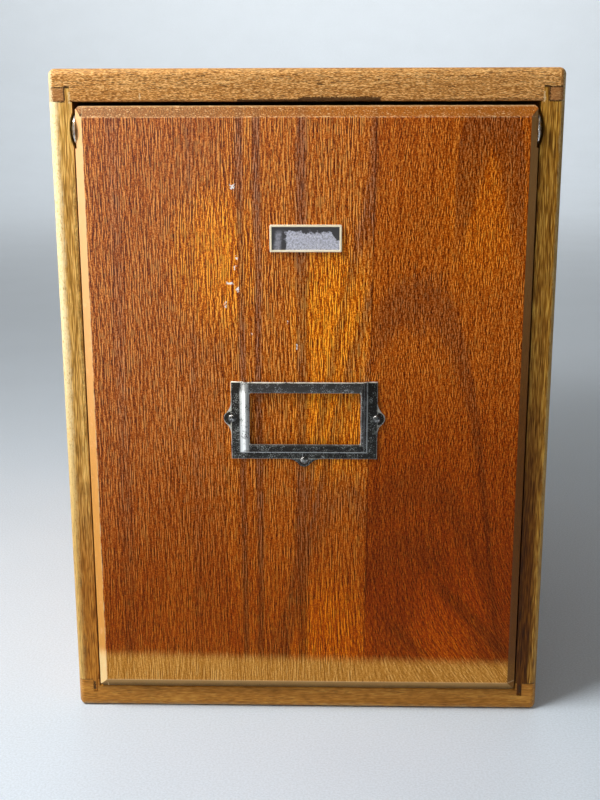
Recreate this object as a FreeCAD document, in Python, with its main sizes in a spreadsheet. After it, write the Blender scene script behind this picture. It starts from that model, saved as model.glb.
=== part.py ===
import FreeCAD, Part
import math
import os
import Sketcher

# Microscope slide cabinet: an oak case with locked corners, a door that turns on two domed
# buttons in grooves of the side boards, and a stack of shallow drawers on side runners.
# Right is +X, the back is +Y and up is +Z. The origin is the middle of the case's underside.

DRAWER_COUNT = 12
PARTS_FOLDER = "parts"

SIZES = [
    # Case
    ("case_width", 228.6, "overall width of the case"),
    ("case_height", 309.5, "overall height of the case"),
    ("case_depth", 368.3, "front plane to back plane"),
    ("side_thickness", 10.5, "side boards"),
    ("board_thickness", 14.3, "top and bottom boards"),
    ("outer_round", 3.0, "radius on the outer edges of the case"),
    ("arris", 1.0, "radius on the inner front edges of the top and bottom boards"),
    ("lip_width", 7.3, "outer lip of a corner joint"),
    ("tongue_thickness", 2.4, "tongue of a side board and the groove that takes it"),
    ("tongue_length", 6.2, "how far a tongue stands out of its shoulders"),
    ("tongue_end_gap", 0.5, "glue space past the end of a tongue"),
    ("panel_thickness", 6.4, "back panel"),
    ("rebate_width", 5.0, "how far the back panel's rebate reaches into each board"),
    # Door
    ("door_thickness", 15.9, "door slab"),
    ("door_proud", 4.0, "how far the closed door stands in front of the case"),
    ("door_side_gap", 0.8, "door edge to side board"),
    ("door_top_gap", 1.75, "door top to top board"),
    ("side_bevel", 4.0, "bevel on the long edges, measured on the door's face"),
    ("end_bevel", 4.9, "bevel on the top and foot, measured on the door's face"),
    ("bevel_depth", 3.3, "bevels, measured through the door"),
    ("corner_clip", 1.4, "door corners, cut at an angle"),
    ("foot_rebate_depth", 3.0, "step in the bottom board that the door's foot closes into"),
    ("foot_gap", 0.3, "door foot to its step, under it and behind it"),
    # Pivots
    ("pivot_setback", 3.9, "front plane of the case to the pivot axis"),
    ("pivot_inset", 10.25, "door top to the pivot axis"),
    ("button_radius", 7.3, "rim of a pivot button"),
    ("button_rim", 0.8, "straight part of the rim"),
    ("button_dome", 1.8, "height of the dome over its rim"),
    ("button_shank_radius", 1.5, "shank driven into the door's edge"),
    ("button_shank_length", 14.0, "shank length"),
    ("notch_depth", 0.8, "notch in the door's edge that holds a button"),
    ("notch_length", 18.5, "notch, from the door's top"),
    ("groove_depth", 1.6, "pivot groove in a side board, at its middle"),
    ("groove_gap", 0.4, "rim of a button to the groove, above and below"),
    ("groove_stop", 30.0, "end of the pivot groove to the back plane"),
    # Label holder
    ("holder_centre", 150.5, "middle of the label holder above the base"),
    ("holder_offset", -0.8, "label holder, sideways from the middle of the door"),
    ("holder_width", 68.3, "label holder without its ears"),
    ("holder_height", 37.3, "label holder without its ears"),
    ("sheet_thickness", 0.8, "sheet that the label holder is stamped from"),
    ("card_gap", 1.4, "room for cards behind the frame"),
    ("side_flange", 3.7, "flat flange left and right of the frame"),
    ("foot_flange", 3.2, "flat flange under the frame"),
    ("frame_bar", 4.4, "width of the frame at the sides and foot of the window"),
    ("frame_head", 4.9, "width of the frame over the window"),
    ("window_round", 1.1, "corners of the window"),
    ("bend_round", 0.9, "bends of the raised frame"),
    ("ear_radius", 3.4, "round end of an ear"),
    ("ear_flank", 5.6, "half the width of an ear where it leaves the flange"),
    ("ear_reach", 0.5, "flange edge to the middle of an ear's pin"),
    ("side_ear_rise", 1.8, "side ears above the middle of the holder"),
    ("pin_radius", 0.8, "shank of a holder pin"),
    ("pin_length", 10.0, "length of a holder pin under its head"),
    ("pin_head_radius", 1.9, "head of a holder pin"),
    ("pin_head_crown", 1.0, "flat crown of a pin head"),
    ("pin_head_rim", 0.3, "straight part of a pin head"),
    ("pin_head_height", 1.3, "whole height of a pin head"),
    ("pin_hole_gap", 0.1, "pin and button shanks to their holes"),
    # Nameplate
    ("plate_centre", 235.4, "middle of the nameplate above the base"),
    ("plate_width", 32.5, "nameplate"),
    ("plate_height", 12.2, "nameplate"),
    ("plate_thickness", 1.1, "nameplate"),
    ("plate_border", 0.95, "raised border round its field"),
    ("plate_recess", 0.3, "depth of the field below the border"),
    # Drawers
    ("recess_gap", 0.6, "level door to the runner under it"),
    ("drawer_gap", 0.8, "between two drawer fronts"),
    ("drawer_side_gap", 0.8, "drawer to side board"),
    ("drawer_back_gap", 1.5, "closed drawer to back panel"),
    ("knob_gap", 1.3, "closed door to the drawer knobs"),
    ("front_thickness", 9.5, "drawer fronts"),
    ("front_arris", 0.8, "bevel round a drawer front"),
    ("rail_width", 15.9, "side and middle rails of a drawer"),
    ("rail_height", 12.7, "rails of a drawer"),
    ("back_rail_width", 12.7, "back rail of a drawer"),
    ("bottom_thickness", 3.2, "drawer bottoms"),
    ("runner_height", 4.0, "runner strips"),
    ("runner_reach", 4.8, "how far a runner stands out of the side board"),
    ("runner_gap", 0.3, "runner to the groove of a drawer, above and below"),
    ("runner_end_gap", 0.5, "runner to the floor of its groove and to the drawer front"),
    ("knob_length", 9.0, "drawer knobs"),
    ("knob_head", 3.2, "thickness of a knob's head"),
    ("knob_radius", 5.0, "head of a knob"),
    ("knob_neck", 2.4, "neck of a knob"),
]

# Measures that follow from the sizes
HALF_CASE = "(sizes.case_width / 2)"
HALF_INNER = "(sizes.case_width / 2 - sizes.side_thickness)"
CEILING = "(sizes.case_height - sizes.board_thickness)"
TONGUE_OUTER = "(sizes.case_width / 2 - sizes.lip_width)"
TONGUE_INNER = "(sizes.case_width / 2 - sizes.lip_width - sizes.tongue_thickness)"
JOINT_GROOVE = "(sizes.tongue_length + sizes.tongue_end_gap)"
PIVOT_HEIGHT = f"({CEILING} - sizes.door_top_gap - sizes.pivot_inset)"

DOOR_FRONT = "(-sizes.door_proud - sizes.pivot_setback)"
DOOR_REAR = f"({DOOR_FRONT} + sizes.door_thickness)"
DOOR_TOP = "sizes.pivot_inset"
FOOT_STEP = "(sizes.board_thickness - sizes.foot_rebate_depth)"
DOOR_FOOT = f"({FOOT_STEP} + sizes.foot_gap - {PIVOT_HEIGHT})"
HALF_DOOR = f"({HALF_INNER} - sizes.door_side_gap)"
BUTTON_SEAT = f"({HALF_DOOR} - sizes.notch_depth)"
BUTTON_HEIGHT = "(sizes.button_rim + sizes.button_dome)"

DRAWER_ZONE_TOP = f"({PIVOT_HEIGHT} - {DOOR_REAR} - sizes.recess_gap - sizes.runner_height)"
DRAWER_PITCH = f"(({DRAWER_ZONE_TOP} - sizes.board_thickness) / {DRAWER_COUNT})"
DRAWER_FACE = "(sizes.door_thickness - sizes.door_proud + sizes.knob_gap + sizes.knob_length)"
DRAWER_END = "(sizes.case_depth - sizes.panel_thickness - sizes.drawer_back_gap)"
DRAWER_LENGTH = f"({DRAWER_END} - {DRAWER_FACE})"
FRONT_HEIGHT = f"({DRAWER_PITCH} - sizes.drawer_gap)"
HALF_DRAWER = f"({HALF_INNER} - sizes.drawer_side_gap)"
RUNNER_RISE = "(sizes.bottom_thickness + (sizes.rail_height - sizes.runner_height) / 2)"
RUNNER_START = f"({DRAWER_FACE} + sizes.front_thickness + sizes.runner_end_gap)"

FRAME_HALF = "(sizes.holder_width / 2 - sizes.side_flange)"
FRAME_FOOT = "(-sizes.holder_height / 2 + sizes.foot_flange)"
HOLDER_TOP = "(sizes.holder_height / 2)"
FRAME_RAISE = "(sizes.card_gap + sizes.sheet_thickness)"

# Places of the local frames
CASE_PLACE = ("0", "-sizes.case_depth / 2", "0")
DOOR_PLACE = ("0", "sizes.pivot_setback - sizes.case_depth / 2", PIVOT_HEIGHT)
DOOR_FACE = "(-sizes.door_proud - sizes.case_depth / 2)"
HOLDER_PLACE = ("sizes.holder_offset", DOOR_FACE, "sizes.holder_centre")
PLATE_PLACE = ("0", DOOR_FACE, "sizes.plate_centre")

# How far a cutter runs past a face that it opens
OVERRUN = 1.0

doc = FreeCAD.newDocument("slide_cabinet")
sizes = doc.addObject("Spreadsheet::Sheet", "sizes")
sub_parts = {}


def fill_sheet():
    """One row for each driving size: its name, its value and what it is."""
    for row, (alias, value, meaning) in enumerate(SIZES, 1):
        sizes.set(f"A{row}", alias)
        sizes.set(f"B{row}", str(value))
        sizes.set(f"C{row}", meaning)
        sizes.setAlias(f"B{row}", alias)
    doc.recompute()


def size(expression):
    """Number that an expression on the sheet gives."""
    return float(sizes.evalExpression(expression))


def put(thing, place, turn=0.0):
    """Places a thing by three expressions, turned about the vertical by so many degrees."""
    thing.Placement = FreeCAD.Placement(
        FreeCAD.Vector(*(size(part) for part in place)),
        FreeCAD.Rotation(FreeCAD.Vector(0, 0, 1), turn),
    )
    for axis, part in zip("xyz", place):
        thing.setExpression(f"Placement.Base.{axis}", part)


def keep(thing, label):
    """Names a thing as a sub-part of the cabinet."""
    thing.Label = label
    sub_parts[label] = thing
    return thing


def new_body(name, place=("0", "0", "0"), turn=0.0):
    body = doc.addObject("PartDesign::Body", name)
    put(body, place, turn)
    return body


def hold(sketch, element, point, place):
    """Holds a point of a sketch by its two coordinates."""
    for kind, coordinate in zip(("DistanceX", "DistanceY"), place):
        number = sketch.addConstraint(Sketcher.Constraint(kind, element, point, size(coordinate)))
        sketch.setExpression(f"Constraints[{number}]", coordinate)


def draw_outline(sketch, corners, domed=False):
    """Closed outline through the corners. Where it is domed, its first side is an arc that
    starts on the sketch's vertical axis and is centred on it."""
    spots = [FreeCAD.Vector(size(across), size(along), 0) for across, along in corners]
    last = len(spots) - 1
    for number, start in enumerate(spots):
        end = spots[0 if number == last else number + 1]
        if domed and number == 0:
            rise = end.y - start.y
            radius = (end.x ** 2 + rise ** 2) / (2 * rise)
            centre = FreeCAD.Vector(0, start.y + radius, 0)
            circle = Part.Circle(centre, FreeCAD.Vector(0, 0, 1), radius)
            sweep = math.asin(end.x / radius)
            sketch.addGeometry(Part.ArcOfCircle(circle, -math.pi / 2, sweep - math.pi / 2))
            sketch.addConstraint(Sketcher.Constraint("PointOnObject", 0, 3, -2))
        else:
            sketch.addGeometry(Part.LineSegment(start, end))
    for number, corner in enumerate(corners):
        following = 0 if number == last else number + 1
        sketch.addConstraint(Sketcher.Constraint("Coincident", number, 2, following, 1))
        hold(sketch, number, 1, corner)


def draw_circle(sketch, centre, radius):
    spot = FreeCAD.Vector(size(centre[0]), size(centre[1]), 0)
    sketch.addGeometry(Part.Circle(spot, FreeCAD.Vector(0, 0, 1), size(radius)))
    hold(sketch, 0, 3, centre)
    number = sketch.addConstraint(Sketcher.Constraint("Radius", 0, size(radius)))
    sketch.setExpression(f"Constraints[{number}]", radius)


def new_sketch(body, name, role, start):
    """Sketch on one of the body's own planes, moved to a start along the plane's world axis."""
    sketch = body.newObject("Sketcher::SketchObject", name)
    plane = next(item for item in body.Origin.OriginFeatures if item.Role == role)
    sketch.AttachmentSupport = [(plane, "")]
    sketch.MapMode = "FlatFace"
    sign = "-" if role == "XZ_Plane" else ""
    sketch.setExpression("AttachmentOffset.Base.z", f"{sign}({start})")
    return sketch


def extrude(body, kind, name, sketch, role, length):
    """Pad or pocket that runs from its sketch in the positive direction of the world axis."""
    feature = body.newObject(kind, name)
    feature.Profile = sketch
    backwards = role == "XZ_Plane"
    feature.Reversed = backwards if kind == "PartDesign::Pad" else not backwards
    feature.setExpression("Length", length)
    doc.recompute()
    return feature


def pad(body, name, role, start, length, corners):
    sketch = new_sketch(body, f"{name}_outline", role, start)
    draw_outline(sketch, corners)
    return extrude(body, "PartDesign::Pad", name, sketch, role, length)


def require_cut(body, name, before):
    """A pocket has to take something away."""
    if body.Tip.Shape.Volume > before - 1e-3:
        raise ValueError(f"{body.Label}: {name} cuts nothing")


def cut(body, name, role, start, length, corners):
    before = body.Tip.Shape.Volume
    sketch = new_sketch(body, f"{name}_outline", role, start)
    draw_outline(sketch, corners)
    extrude(body, "PartDesign::Pocket", name, sketch, role, length)
    require_cut(body, name, before)


def drill(body, name, role, start, length, centre, radius):
    before = body.Tip.Shape.Volume
    sketch = new_sketch(body, f"{name}_circle", role, start)
    draw_circle(sketch, centre, radius)
    extrude(body, "PartDesign::Pocket", name, sketch, role, length)
    require_cut(body, name, before)


def cut_cove(body, name, side, level, half, depth, length):
    """Round-bottomed channel along the inner face of a side board, from its front."""
    before = body.Tip.Shape.Volume
    radius = f"(({half} * {half} + {depth} * {depth}) / (2 * {depth}))"
    face = HALF_INNER if side > 0 else f"-{HALF_INNER}"
    ends = [f"{level} - {half}", f"{level} + {half}"][::side]
    start, end = (FreeCAD.Vector(size(face), size(place), 0) for place in ends)
    centre = FreeCAD.Vector(size(face) - side * (size(radius) - size(depth)), size(level), 0)
    middle = 0 if side > 0 else math.pi
    sweep = math.asin(size(half) / size(radius))
    circle = Part.Circle(centre, FreeCAD.Vector(0, 0, 1), size(radius))
    sketch = new_sketch(body, f"{name}_outline", "XZ_Plane", "0")
    sketch.addGeometry(Part.ArcOfCircle(circle, middle - sweep, middle + sweep))
    sketch.addGeometry(Part.LineSegment(end, start))
    for number in (0, 1):
        sketch.addConstraint(Sketcher.Constraint("Coincident", number, 2, 1 - number, 1))
        hold(sketch, number, 1, (face, ends[number]))
    number = sketch.addConstraint(Sketcher.Constraint("Radius", 0, size(radius)))
    sketch.setExpression(f"Constraints[{number}]", radius)
    extrude(body, "PartDesign::Pocket", name, sketch, "XZ_Plane", length)
    require_cut(body, name, before)


def lies_on(edge, **planes):
    """True where an edge lies in each named plane of the body's own frame."""
    box = edge.BoundBox
    for axis, place in planes.items():
        for end in ("Min", "Max"):
            if abs(getattr(box, axis.upper() + end) - size(place)) > 0.01:
                return False
    return True


def ease(body, name, kind, amount, chosen):
    """Rounds or bevels the edges that are chosen."""
    base = body.Tip
    edges = [f"Edge{number}" for number, edge in enumerate(base.Shape.Edges, 1) if chosen(edge)]
    if not edges:
        raise ValueError(f"{body.Label}: {name} finds no edge")
    feature = body.newObject(f"PartDesign::{kind}", name)
    feature.Base = (base, edges)
    feature.setExpression("Radius" if kind == "Fillet" else "Size", amount)
    doc.recompute()


def turn_solid(name, place, turn, profile, domed=False):
    """Turned solid on a lathe axis along Y, from a profile of radius and place along the axis."""
    body = new_body(name, place, turn)
    sketch = new_sketch(body, f"{name}_profile", "XY_Plane", "0")
    draw_outline(sketch, profile, domed)
    feature = body.newObject("PartDesign::Revolution", f"{name}_turning")
    feature.Profile = sketch
    feature.ReferenceAxis = (sketch, ["V_Axis"])
    feature.Angle = 360
    doc.recompute()
    return body


def block(name, near, spans):
    """Plain strip or board: a corner and three lengths, all as expressions."""
    box = doc.addObject("Part::Box", name)
    for side, span in zip(("Length", "Width", "Height"), spans):
        box.setExpression(side, span)
    put(box, near)
    return box


def group(label, members, place):
    """Separate solids that share one name."""
    compound = doc.addObject("Part::Compound", label)
    compound.Links = members
    put(compound, place)
    return keep(compound, label)


def rectangle(left, right, low, high):
    return [(left, low), (right, low), (right, high), (left, high)]


def mirrored(corners):
    """The same corners on the other side of the vertical axis."""
    return [(f"-({across})", along) for across, along in corners]


def cut_panel_rebate(body):
    """Step that the back panel sits in, cut through each board of the case."""
    reach = f"({HALF_INNER} + sizes.rebate_width)"
    low = "(sizes.board_thickness - sizes.rebate_width)"
    high = f"({CEILING} + sizes.rebate_width)"
    start = "sizes.case_depth - sizes.panel_thickness"
    cut(body, "panel_rebate", "XZ_Plane", start, "sizes.panel_thickness",
        rectangle(f"-{reach}", reach, low, high))


def end_board(label, far, near, groove):
    """Top or bottom board: one section from front to back, with the grooves of its corners."""
    body = keep(new_body(label, CASE_PLACE), label)
    right = [(HALF_CASE, far), (HALF_CASE, near), (TONGUE_OUTER, near), (TONGUE_OUTER, groove),
             (TONGUE_INNER, groove), (TONGUE_INNER, near)]
    pad(body, "board", "XZ_Plane", "0", "sizes.case_depth", right + mirrored(right)[::-1])
    cut_panel_rebate(body)
    return body


def round_outside(body, far=None):
    """Rounds the board's edges that are outer edges of the whole case."""
    def chosen(edge):
        for end in ("0", "sizes.case_depth"):
            for side in (HALF_CASE, f"-{HALF_CASE}"):
                if lies_on(edge, x=side, y=end):
                    return True
            if far and lies_on(edge, y=end, z=far):
                return True
        if not far:
            return False
        return any(lies_on(edge, x=side, z=far) for side in (HALF_CASE, f"-{HALF_CASE}"))
    ease(body, "outer_rounding", "Fillet", "sizes.outer_round", chosen)


def ease_front_edge(body, level):
    """Takes the sharpness off the long front edge beside the opening."""
    def chosen(edge):
        return edge.Length > size(HALF_INNER) and lies_on(edge, y="0", z=level)
    ease(body, "front_arris", "Fillet", "sizes.arris", chosen)


def make_top_board():
    body = end_board("top_board", "sizes.case_height", CEILING, f"({CEILING} + {JOINT_GROOVE})")
    round_outside(body, "sizes.case_height")
    ease_front_edge(body, CEILING)


def make_bottom_board():
    near = "sizes.board_thickness"
    body = end_board("bottom_board", "0", near, f"({near} - {JOINT_GROOVE})")
    length = "sizes.door_thickness - sizes.door_proud + sizes.foot_gap"
    cut(body, "foot_step", "XZ_Plane", "0", length,
        rectangle(f"-{HALF_INNER}", HALF_INNER, FOOT_STEP, near))
    round_outside(body, "0")
    ease_front_edge(body, FOOT_STEP)


def make_side_board(label, side):
    """Side board with a tongue at each end; side is 1 on the right and -1 on the left."""
    low = "sizes.board_thickness"
    lower_end = f"({low} - sizes.tongue_length)"
    upper_end = f"({CEILING} + sizes.tongue_length)"
    section = [(HALF_CASE, low), (TONGUE_OUTER, low), (TONGUE_OUTER, lower_end),
               (TONGUE_INNER, lower_end), (TONGUE_INNER, low), (HALF_INNER, low),
               (HALF_INNER, CEILING), (TONGUE_INNER, CEILING), (TONGUE_INNER, upper_end),
               (TONGUE_OUTER, upper_end), (TONGUE_OUTER, CEILING), (HALF_CASE, CEILING)]
    if side < 0:
        section = mirrored(section)
    body = keep(new_body(label, CASE_PLACE), label)
    pad(body, "board", "XZ_Plane", "0", "sizes.case_depth", section)
    cut_panel_rebate(body)
    cut_cove(body, "pivot_groove", side, PIVOT_HEIGHT, "(sizes.button_radius + sizes.groove_gap)",
             "sizes.groove_depth", "sizes.case_depth - sizes.groove_stop")
    round_outside(body)


def make_back_panel():
    reach = f"({HALF_INNER} + sizes.rebate_width)"
    low = "(sizes.board_thickness - sizes.rebate_width)"
    high = f"({CEILING} + sizes.rebate_width)"
    body = keep(new_body("back_panel", CASE_PLACE), "back_panel")
    pad(body, "panel", "XZ_Plane", "sizes.case_depth - sizes.panel_thickness",
        "sizes.panel_thickness", rectangle(f"-{reach}", reach, low, high))


def make_side_runners():
    """A pair of strips for each drawer, and one more pair that carries the pushed-in door."""
    levels = [f"{drawer_level(row)} + {RUNNER_RISE}" for row in range(DRAWER_COUNT)]
    levels.append(DRAWER_ZONE_TOP)
    length = f"sizes.case_depth - sizes.panel_thickness - {RUNNER_START}"
    spans = ("sizes.runner_reach", length, "sizes.runner_height")
    strips = []
    for row, level in enumerate(levels):
        for name, near in (("left", f"-{HALF_INNER}"), ("right", f"{HALF_INNER} - sizes.runner_reach")):
            strips.append(block(f"{name}_runner_{row}", (near, RUNNER_START, level), spans))
    group("side_runners", strips, CASE_PLACE)


def make_door_panel():
    """Door slab, drawn from its pivot axis, with bevels all round its face."""
    body = keep(new_body("door_panel", DOOR_PLACE), "door_panel")
    notch_foot = f"({DOOR_TOP} - sizes.notch_length)"
    right = [(f"{HALF_DOOR} - sizes.corner_clip", DOOR_FOOT),
             (HALF_DOOR, f"{DOOR_FOOT} + sizes.corner_clip"),
             (HALF_DOOR, notch_foot),
             (BUTTON_SEAT, notch_foot),
             (BUTTON_SEAT, f"{DOOR_TOP} - sizes.corner_clip"),
             (f"{BUTTON_SEAT} - sizes.corner_clip", DOOR_TOP)]
    pad(body, "slab", "XZ_Plane", DOOR_FRONT, "sizes.door_thickness", right + mirrored(right)[::-1])

    outside = f"({DOOR_FRONT} - {OVERRUN})"
    bevel_end = f"({DOOR_FRONT} + sizes.bevel_depth)"
    for name, edge, sign in (("top", DOOR_TOP, "+"), ("foot", DOOR_FOOT, "-")):
        inward = "-" if sign == "+" else "+"
        start = f"({edge} {inward} sizes.end_bevel)"
        wedge = [(outside, start), (DOOR_FRONT, start), (bevel_end, edge),
                 (bevel_end, f"{edge} {sign} {OVERRUN}"), (outside, f"{edge} {sign} {OVERRUN}")]
        cut(body, f"{name}_bevel", "YZ_Plane", f"-{HALF_DOOR}", f"2 * {HALF_DOOR}", wedge)
    start = f"({HALF_DOOR} - sizes.side_bevel)"
    wedge = [(start, outside), (start, DOOR_FRONT), (HALF_DOOR, bevel_end),
             (f"{HALF_DOOR} + {OVERRUN}", bevel_end), (f"{HALF_DOOR} + {OVERRUN}", outside)]
    for name, corners in (("right", wedge), ("left", mirrored(wedge))):
        cut(body, f"{name}_bevel", "XY_Plane", DOOR_FOOT, f"{DOOR_TOP} - {DOOR_FOOT}", corners)

    shank_hole = "sizes.button_shank_radius + sizes.pin_hole_gap"
    hole_depth = "(sizes.button_shank_length + sizes.pin_hole_gap)"
    for name, start in (("right", f"{BUTTON_SEAT} - {hole_depth}"), ("left", f"-{BUTTON_SEAT}")):
        drill(body, f"{name}_shank_hole", "YZ_Plane", start, hole_depth, ("0", "0"), shank_hole)
    for name, (across, up) in ear_places().items():
        centre = (f"sizes.holder_offset + {across}", f"sizes.holder_centre - {PIVOT_HEIGHT} + {up}")
        drill(body, f"{name}_pin_hole", "XZ_Plane", DOOR_FRONT, "sizes.pin_length",
              centre, "sizes.pin_radius + sizes.pin_hole_gap")


def make_pivot_buttons():
    """Domed buttons on shanks that stand in the door's edges; the domes turn in the grooves."""
    top = f"-{BUTTON_HEIGHT}"
    shank = "sizes.button_shank_radius"
    profile = [("0", top), ("sizes.button_radius", "-sizes.button_rim"),
               ("sizes.button_radius", "0"), (shank, "0"),
               (shank, "sizes.button_shank_length"), ("0", "sizes.button_shank_length")]
    buttons = []
    for name, seat, turn in (("left", f"-{BUTTON_SEAT}", -90), ("right", BUTTON_SEAT, 90)):
        buttons.append(turn_solid(f"{name}_button", (seat, "0", "0"), turn, profile, domed=True))
    group("pivot_buttons", buttons, DOOR_PLACE)


def ear_places():
    """Middle of each ear of the label holder, from the middle of the holder."""
    side = "(sizes.holder_width / 2 + sizes.ear_reach)"
    foot = "(-sizes.holder_height / 2 - sizes.ear_reach)"
    return {
        "left": (f"-{side}", "sizes.side_ear_rise"),
        "right": (side, "sizes.side_ear_rise"),
        "foot": ("0", foot),
    }


def draw_ear(sketch):
    """Ear that points along the sketch's first axis: a round end with straight flanks that
    run at a tangent to it from the edge of the flange."""
    flank = size("sizes.ear_flank")
    reach = size("sizes.ear_reach")
    radius = size("sizes.ear_radius")
    root = "-sizes.side_flange / 2"
    inner = size(root)
    # The flank leaves (0, -flank) and meets the circle round (reach, 0) at this angle.
    angle = math.atan2(-flank, -reach) + math.acos(radius / math.hypot(flank, reach))
    touch = FreeCAD.Vector(reach + radius * math.cos(angle), radius * math.sin(angle), 0)
    corners = [FreeCAD.Vector(inner, flank, 0), FreeCAD.Vector(inner, -flank, 0),
               FreeCAD.Vector(0, -flank, 0), touch]
    for start, end in zip(corners, corners[1:]):
        sketch.addGeometry(Part.LineSegment(start, end))
    circle = Part.Circle(FreeCAD.Vector(reach, 0, 0), FreeCAD.Vector(0, 0, 1), radius)
    sketch.addGeometry(Part.ArcOfCircle(circle, angle, -angle))
    upper = [FreeCAD.Vector(touch.x, -touch.y, 0), FreeCAD.Vector(0, flank, 0), corners[0]]
    for start, end in zip(upper, upper[1:]):
        sketch.addGeometry(Part.LineSegment(start, end))
    for first, second in ((0, 1), (1, 2), (4, 5), (5, 0)):
        sketch.addConstraint(Sketcher.Constraint("Coincident", first, 2, second, 1))
    sketch.addConstraint(Sketcher.Constraint("Tangent", 2, 2, 3, 1))
    sketch.addConstraint(Sketcher.Constraint("Tangent", 3, 2, 4, 1))
    hold(sketch, 0, 1, (root, "sizes.ear_flank"))
    hold(sketch, 1, 1, (root, "-sizes.ear_flank"))
    hold(sketch, 2, 1, ("0", "-sizes.ear_flank"))
    hold(sketch, 5, 1, ("0", "sizes.ear_flank"))
    hold(sketch, 3, 3, ("sizes.ear_reach", "0"))
    number = sketch.addConstraint(Sketcher.Constraint("Radius", 3, radius))
    sketch.setExpression(f"Constraints[{number}]", "sizes.ear_radius")


def make_label_holder():
    """Stamped card frame: a flange with three ears, and a raised frame that is open at its
    head, so that a card slides down behind the window."""
    body = keep(new_body("label_holder", HOLDER_PLACE), "label_holder")
    half = "(sizes.holder_width / 2)"
    flange = rectangle(f"-{half}", half, f"-{HOLDER_TOP}", HOLDER_TOP)
    pad(body, "flange", "XZ_Plane", "-sizes.sheet_thickness", "sizes.sheet_thickness", flange)
    roots = {"left": (f"-{half}", "sizes.side_ear_rise", 180),
             "right": (half, "sizes.side_ear_rise", 0),
             "foot": ("0", f"-{HOLDER_TOP}", 270)}
    for name, (across, up, turn) in roots.items():
        sketch = new_sketch(body, f"{name}_ear_outline", "XZ_Plane", "-sizes.sheet_thickness")
        sketch.AttachmentOffset = FreeCAD.Placement(
            FreeCAD.Vector(size(across), size(up), size("sizes.sheet_thickness")),
            FreeCAD.Rotation(FreeCAD.Vector(0, 0, 1), turn),
        )
        sketch.setExpression("AttachmentOffset.Base.x", across)
        sketch.setExpression("AttachmentOffset.Base.y", up)
        draw_ear(sketch)
        extrude(body, "PartDesign::Pad", f"{name}_ear", sketch, "XZ_Plane", "sizes.sheet_thickness")
    frame = rectangle(f"-{FRAME_HALF}", FRAME_HALF, FRAME_FOOT, HOLDER_TOP)
    pad(body, "raised_frame", "XZ_Plane", f"-{FRAME_RAISE}", FRAME_RAISE, frame)

    def outer_bends(edge):
        if lies_on(edge, y=f"-{FRAME_RAISE}", z=FRAME_FOOT):
            return True
        return any(lies_on(edge, x=side, y=f"-{FRAME_RAISE}") for side in (f"-{FRAME_HALF}", FRAME_HALF))
    ease(body, "bends", "Fillet", "sizes.bend_round", outer_bends)

    card_half = f"({FRAME_HALF} - sizes.sheet_thickness)"
    card_foot = f"({FRAME_FOOT} + sizes.sheet_thickness)"
    cut(body, "card_space", "XZ_Plane", "-sizes.card_gap", "sizes.card_gap",
        rectangle(f"-{card_half}", card_half, card_foot, f"{HOLDER_TOP} + {OVERRUN}"))
    window_half = f"({FRAME_HALF} - sizes.frame_bar)"
    window_foot = f"({FRAME_FOOT} + sizes.frame_bar)"
    window_top = f"({HOLDER_TOP} - sizes.frame_head)"
    cut(body, "window", "XZ_Plane", f"-{FRAME_RAISE}", FRAME_RAISE,
        rectangle(f"-{window_half}", window_half, window_foot, window_top))

    def window_corners(edge):
        return any(lies_on(edge, x=side, z=level) for side in (f"-{window_half}", window_half)
                   for level in (window_foot, window_top))
    ease(body, "window_rounding", "Fillet", "sizes.window_round", window_corners)
    for name, centre in ear_places().items():
        drill(body, f"{name}_ear_hole", "XZ_Plane", "-sizes.sheet_thickness",
              "sizes.sheet_thickness", centre, "sizes.pin_radius + sizes.pin_hole_gap")


def make_holder_pins():
    top = "-sizes.pin_head_height"
    shank_end = "sizes.pin_length - sizes.pin_hole_gap"
    profile = [("0", top), ("sizes.pin_head_crown", top),
               ("sizes.pin_head_radius", "-sizes.pin_head_rim"),
               ("sizes.pin_head_radius", "0"), ("sizes.pin_radius", "0"),
               ("sizes.pin_radius", shank_end), ("0", shank_end)]
    pins = []
    for name, (across, up) in ear_places().items():
        place = (across, "-sizes.sheet_thickness", up)
        pins.append(turn_solid(f"{name}_pin", place, 0, profile))
    group("label_holder_pins", pins, HOLDER_PLACE)


def make_name_plate():
    body = keep(new_body("name_plate", PLATE_PLACE), "name_plate")
    half = "(sizes.plate_width / 2)"
    top = "(sizes.plate_height / 2)"
    pad(body, "plate", "XZ_Plane", "-sizes.plate_thickness", "sizes.plate_thickness",
        rectangle(f"-{half}", half, f"-{top}", top))
    field_half = f"({half} - sizes.plate_border)"
    field_top = f"({top} - sizes.plate_border)"
    cut(body, "field", "XZ_Plane", "-sizes.plate_thickness", "sizes.plate_recess",
        rectangle(f"-{field_half}", field_half, f"-{field_top}", field_top))


def drawer_level(row):
    """Underside of a drawer above the base; row 0 is the lowest."""
    return f"(sizes.board_thickness + sizes.drawer_gap / 2 + {row} * {DRAWER_PITCH})"


def make_rail(name, side):
    """Side rail of a drawer, with the groove that runs on the side board's strip."""
    groove_floor = f"({HALF_INNER} - sizes.runner_reach - sizes.runner_end_gap)"
    rail_inner = f"({HALF_DRAWER} - sizes.rail_width)"
    rail_foot = "sizes.bottom_thickness"
    rail_top = "(sizes.bottom_thickness + sizes.rail_height)"
    groove_foot = f"({RUNNER_RISE} - sizes.runner_gap)"
    groove_top = f"({RUNNER_RISE} + sizes.runner_height + sizes.runner_gap)"
    section = [(rail_inner, rail_foot), (HALF_DRAWER, rail_foot), (HALF_DRAWER, groove_foot),
               (groove_floor, groove_foot), (groove_floor, groove_top), (HALF_DRAWER, groove_top),
               (HALF_DRAWER, rail_top), (rail_inner, rail_top)]
    if side < 0:
        section = mirrored(section)
    body = new_body(name)
    pad(body, "rail", "XZ_Plane", "sizes.front_thickness",
        f"{DRAWER_LENGTH} - sizes.front_thickness", section)
    return body


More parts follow.
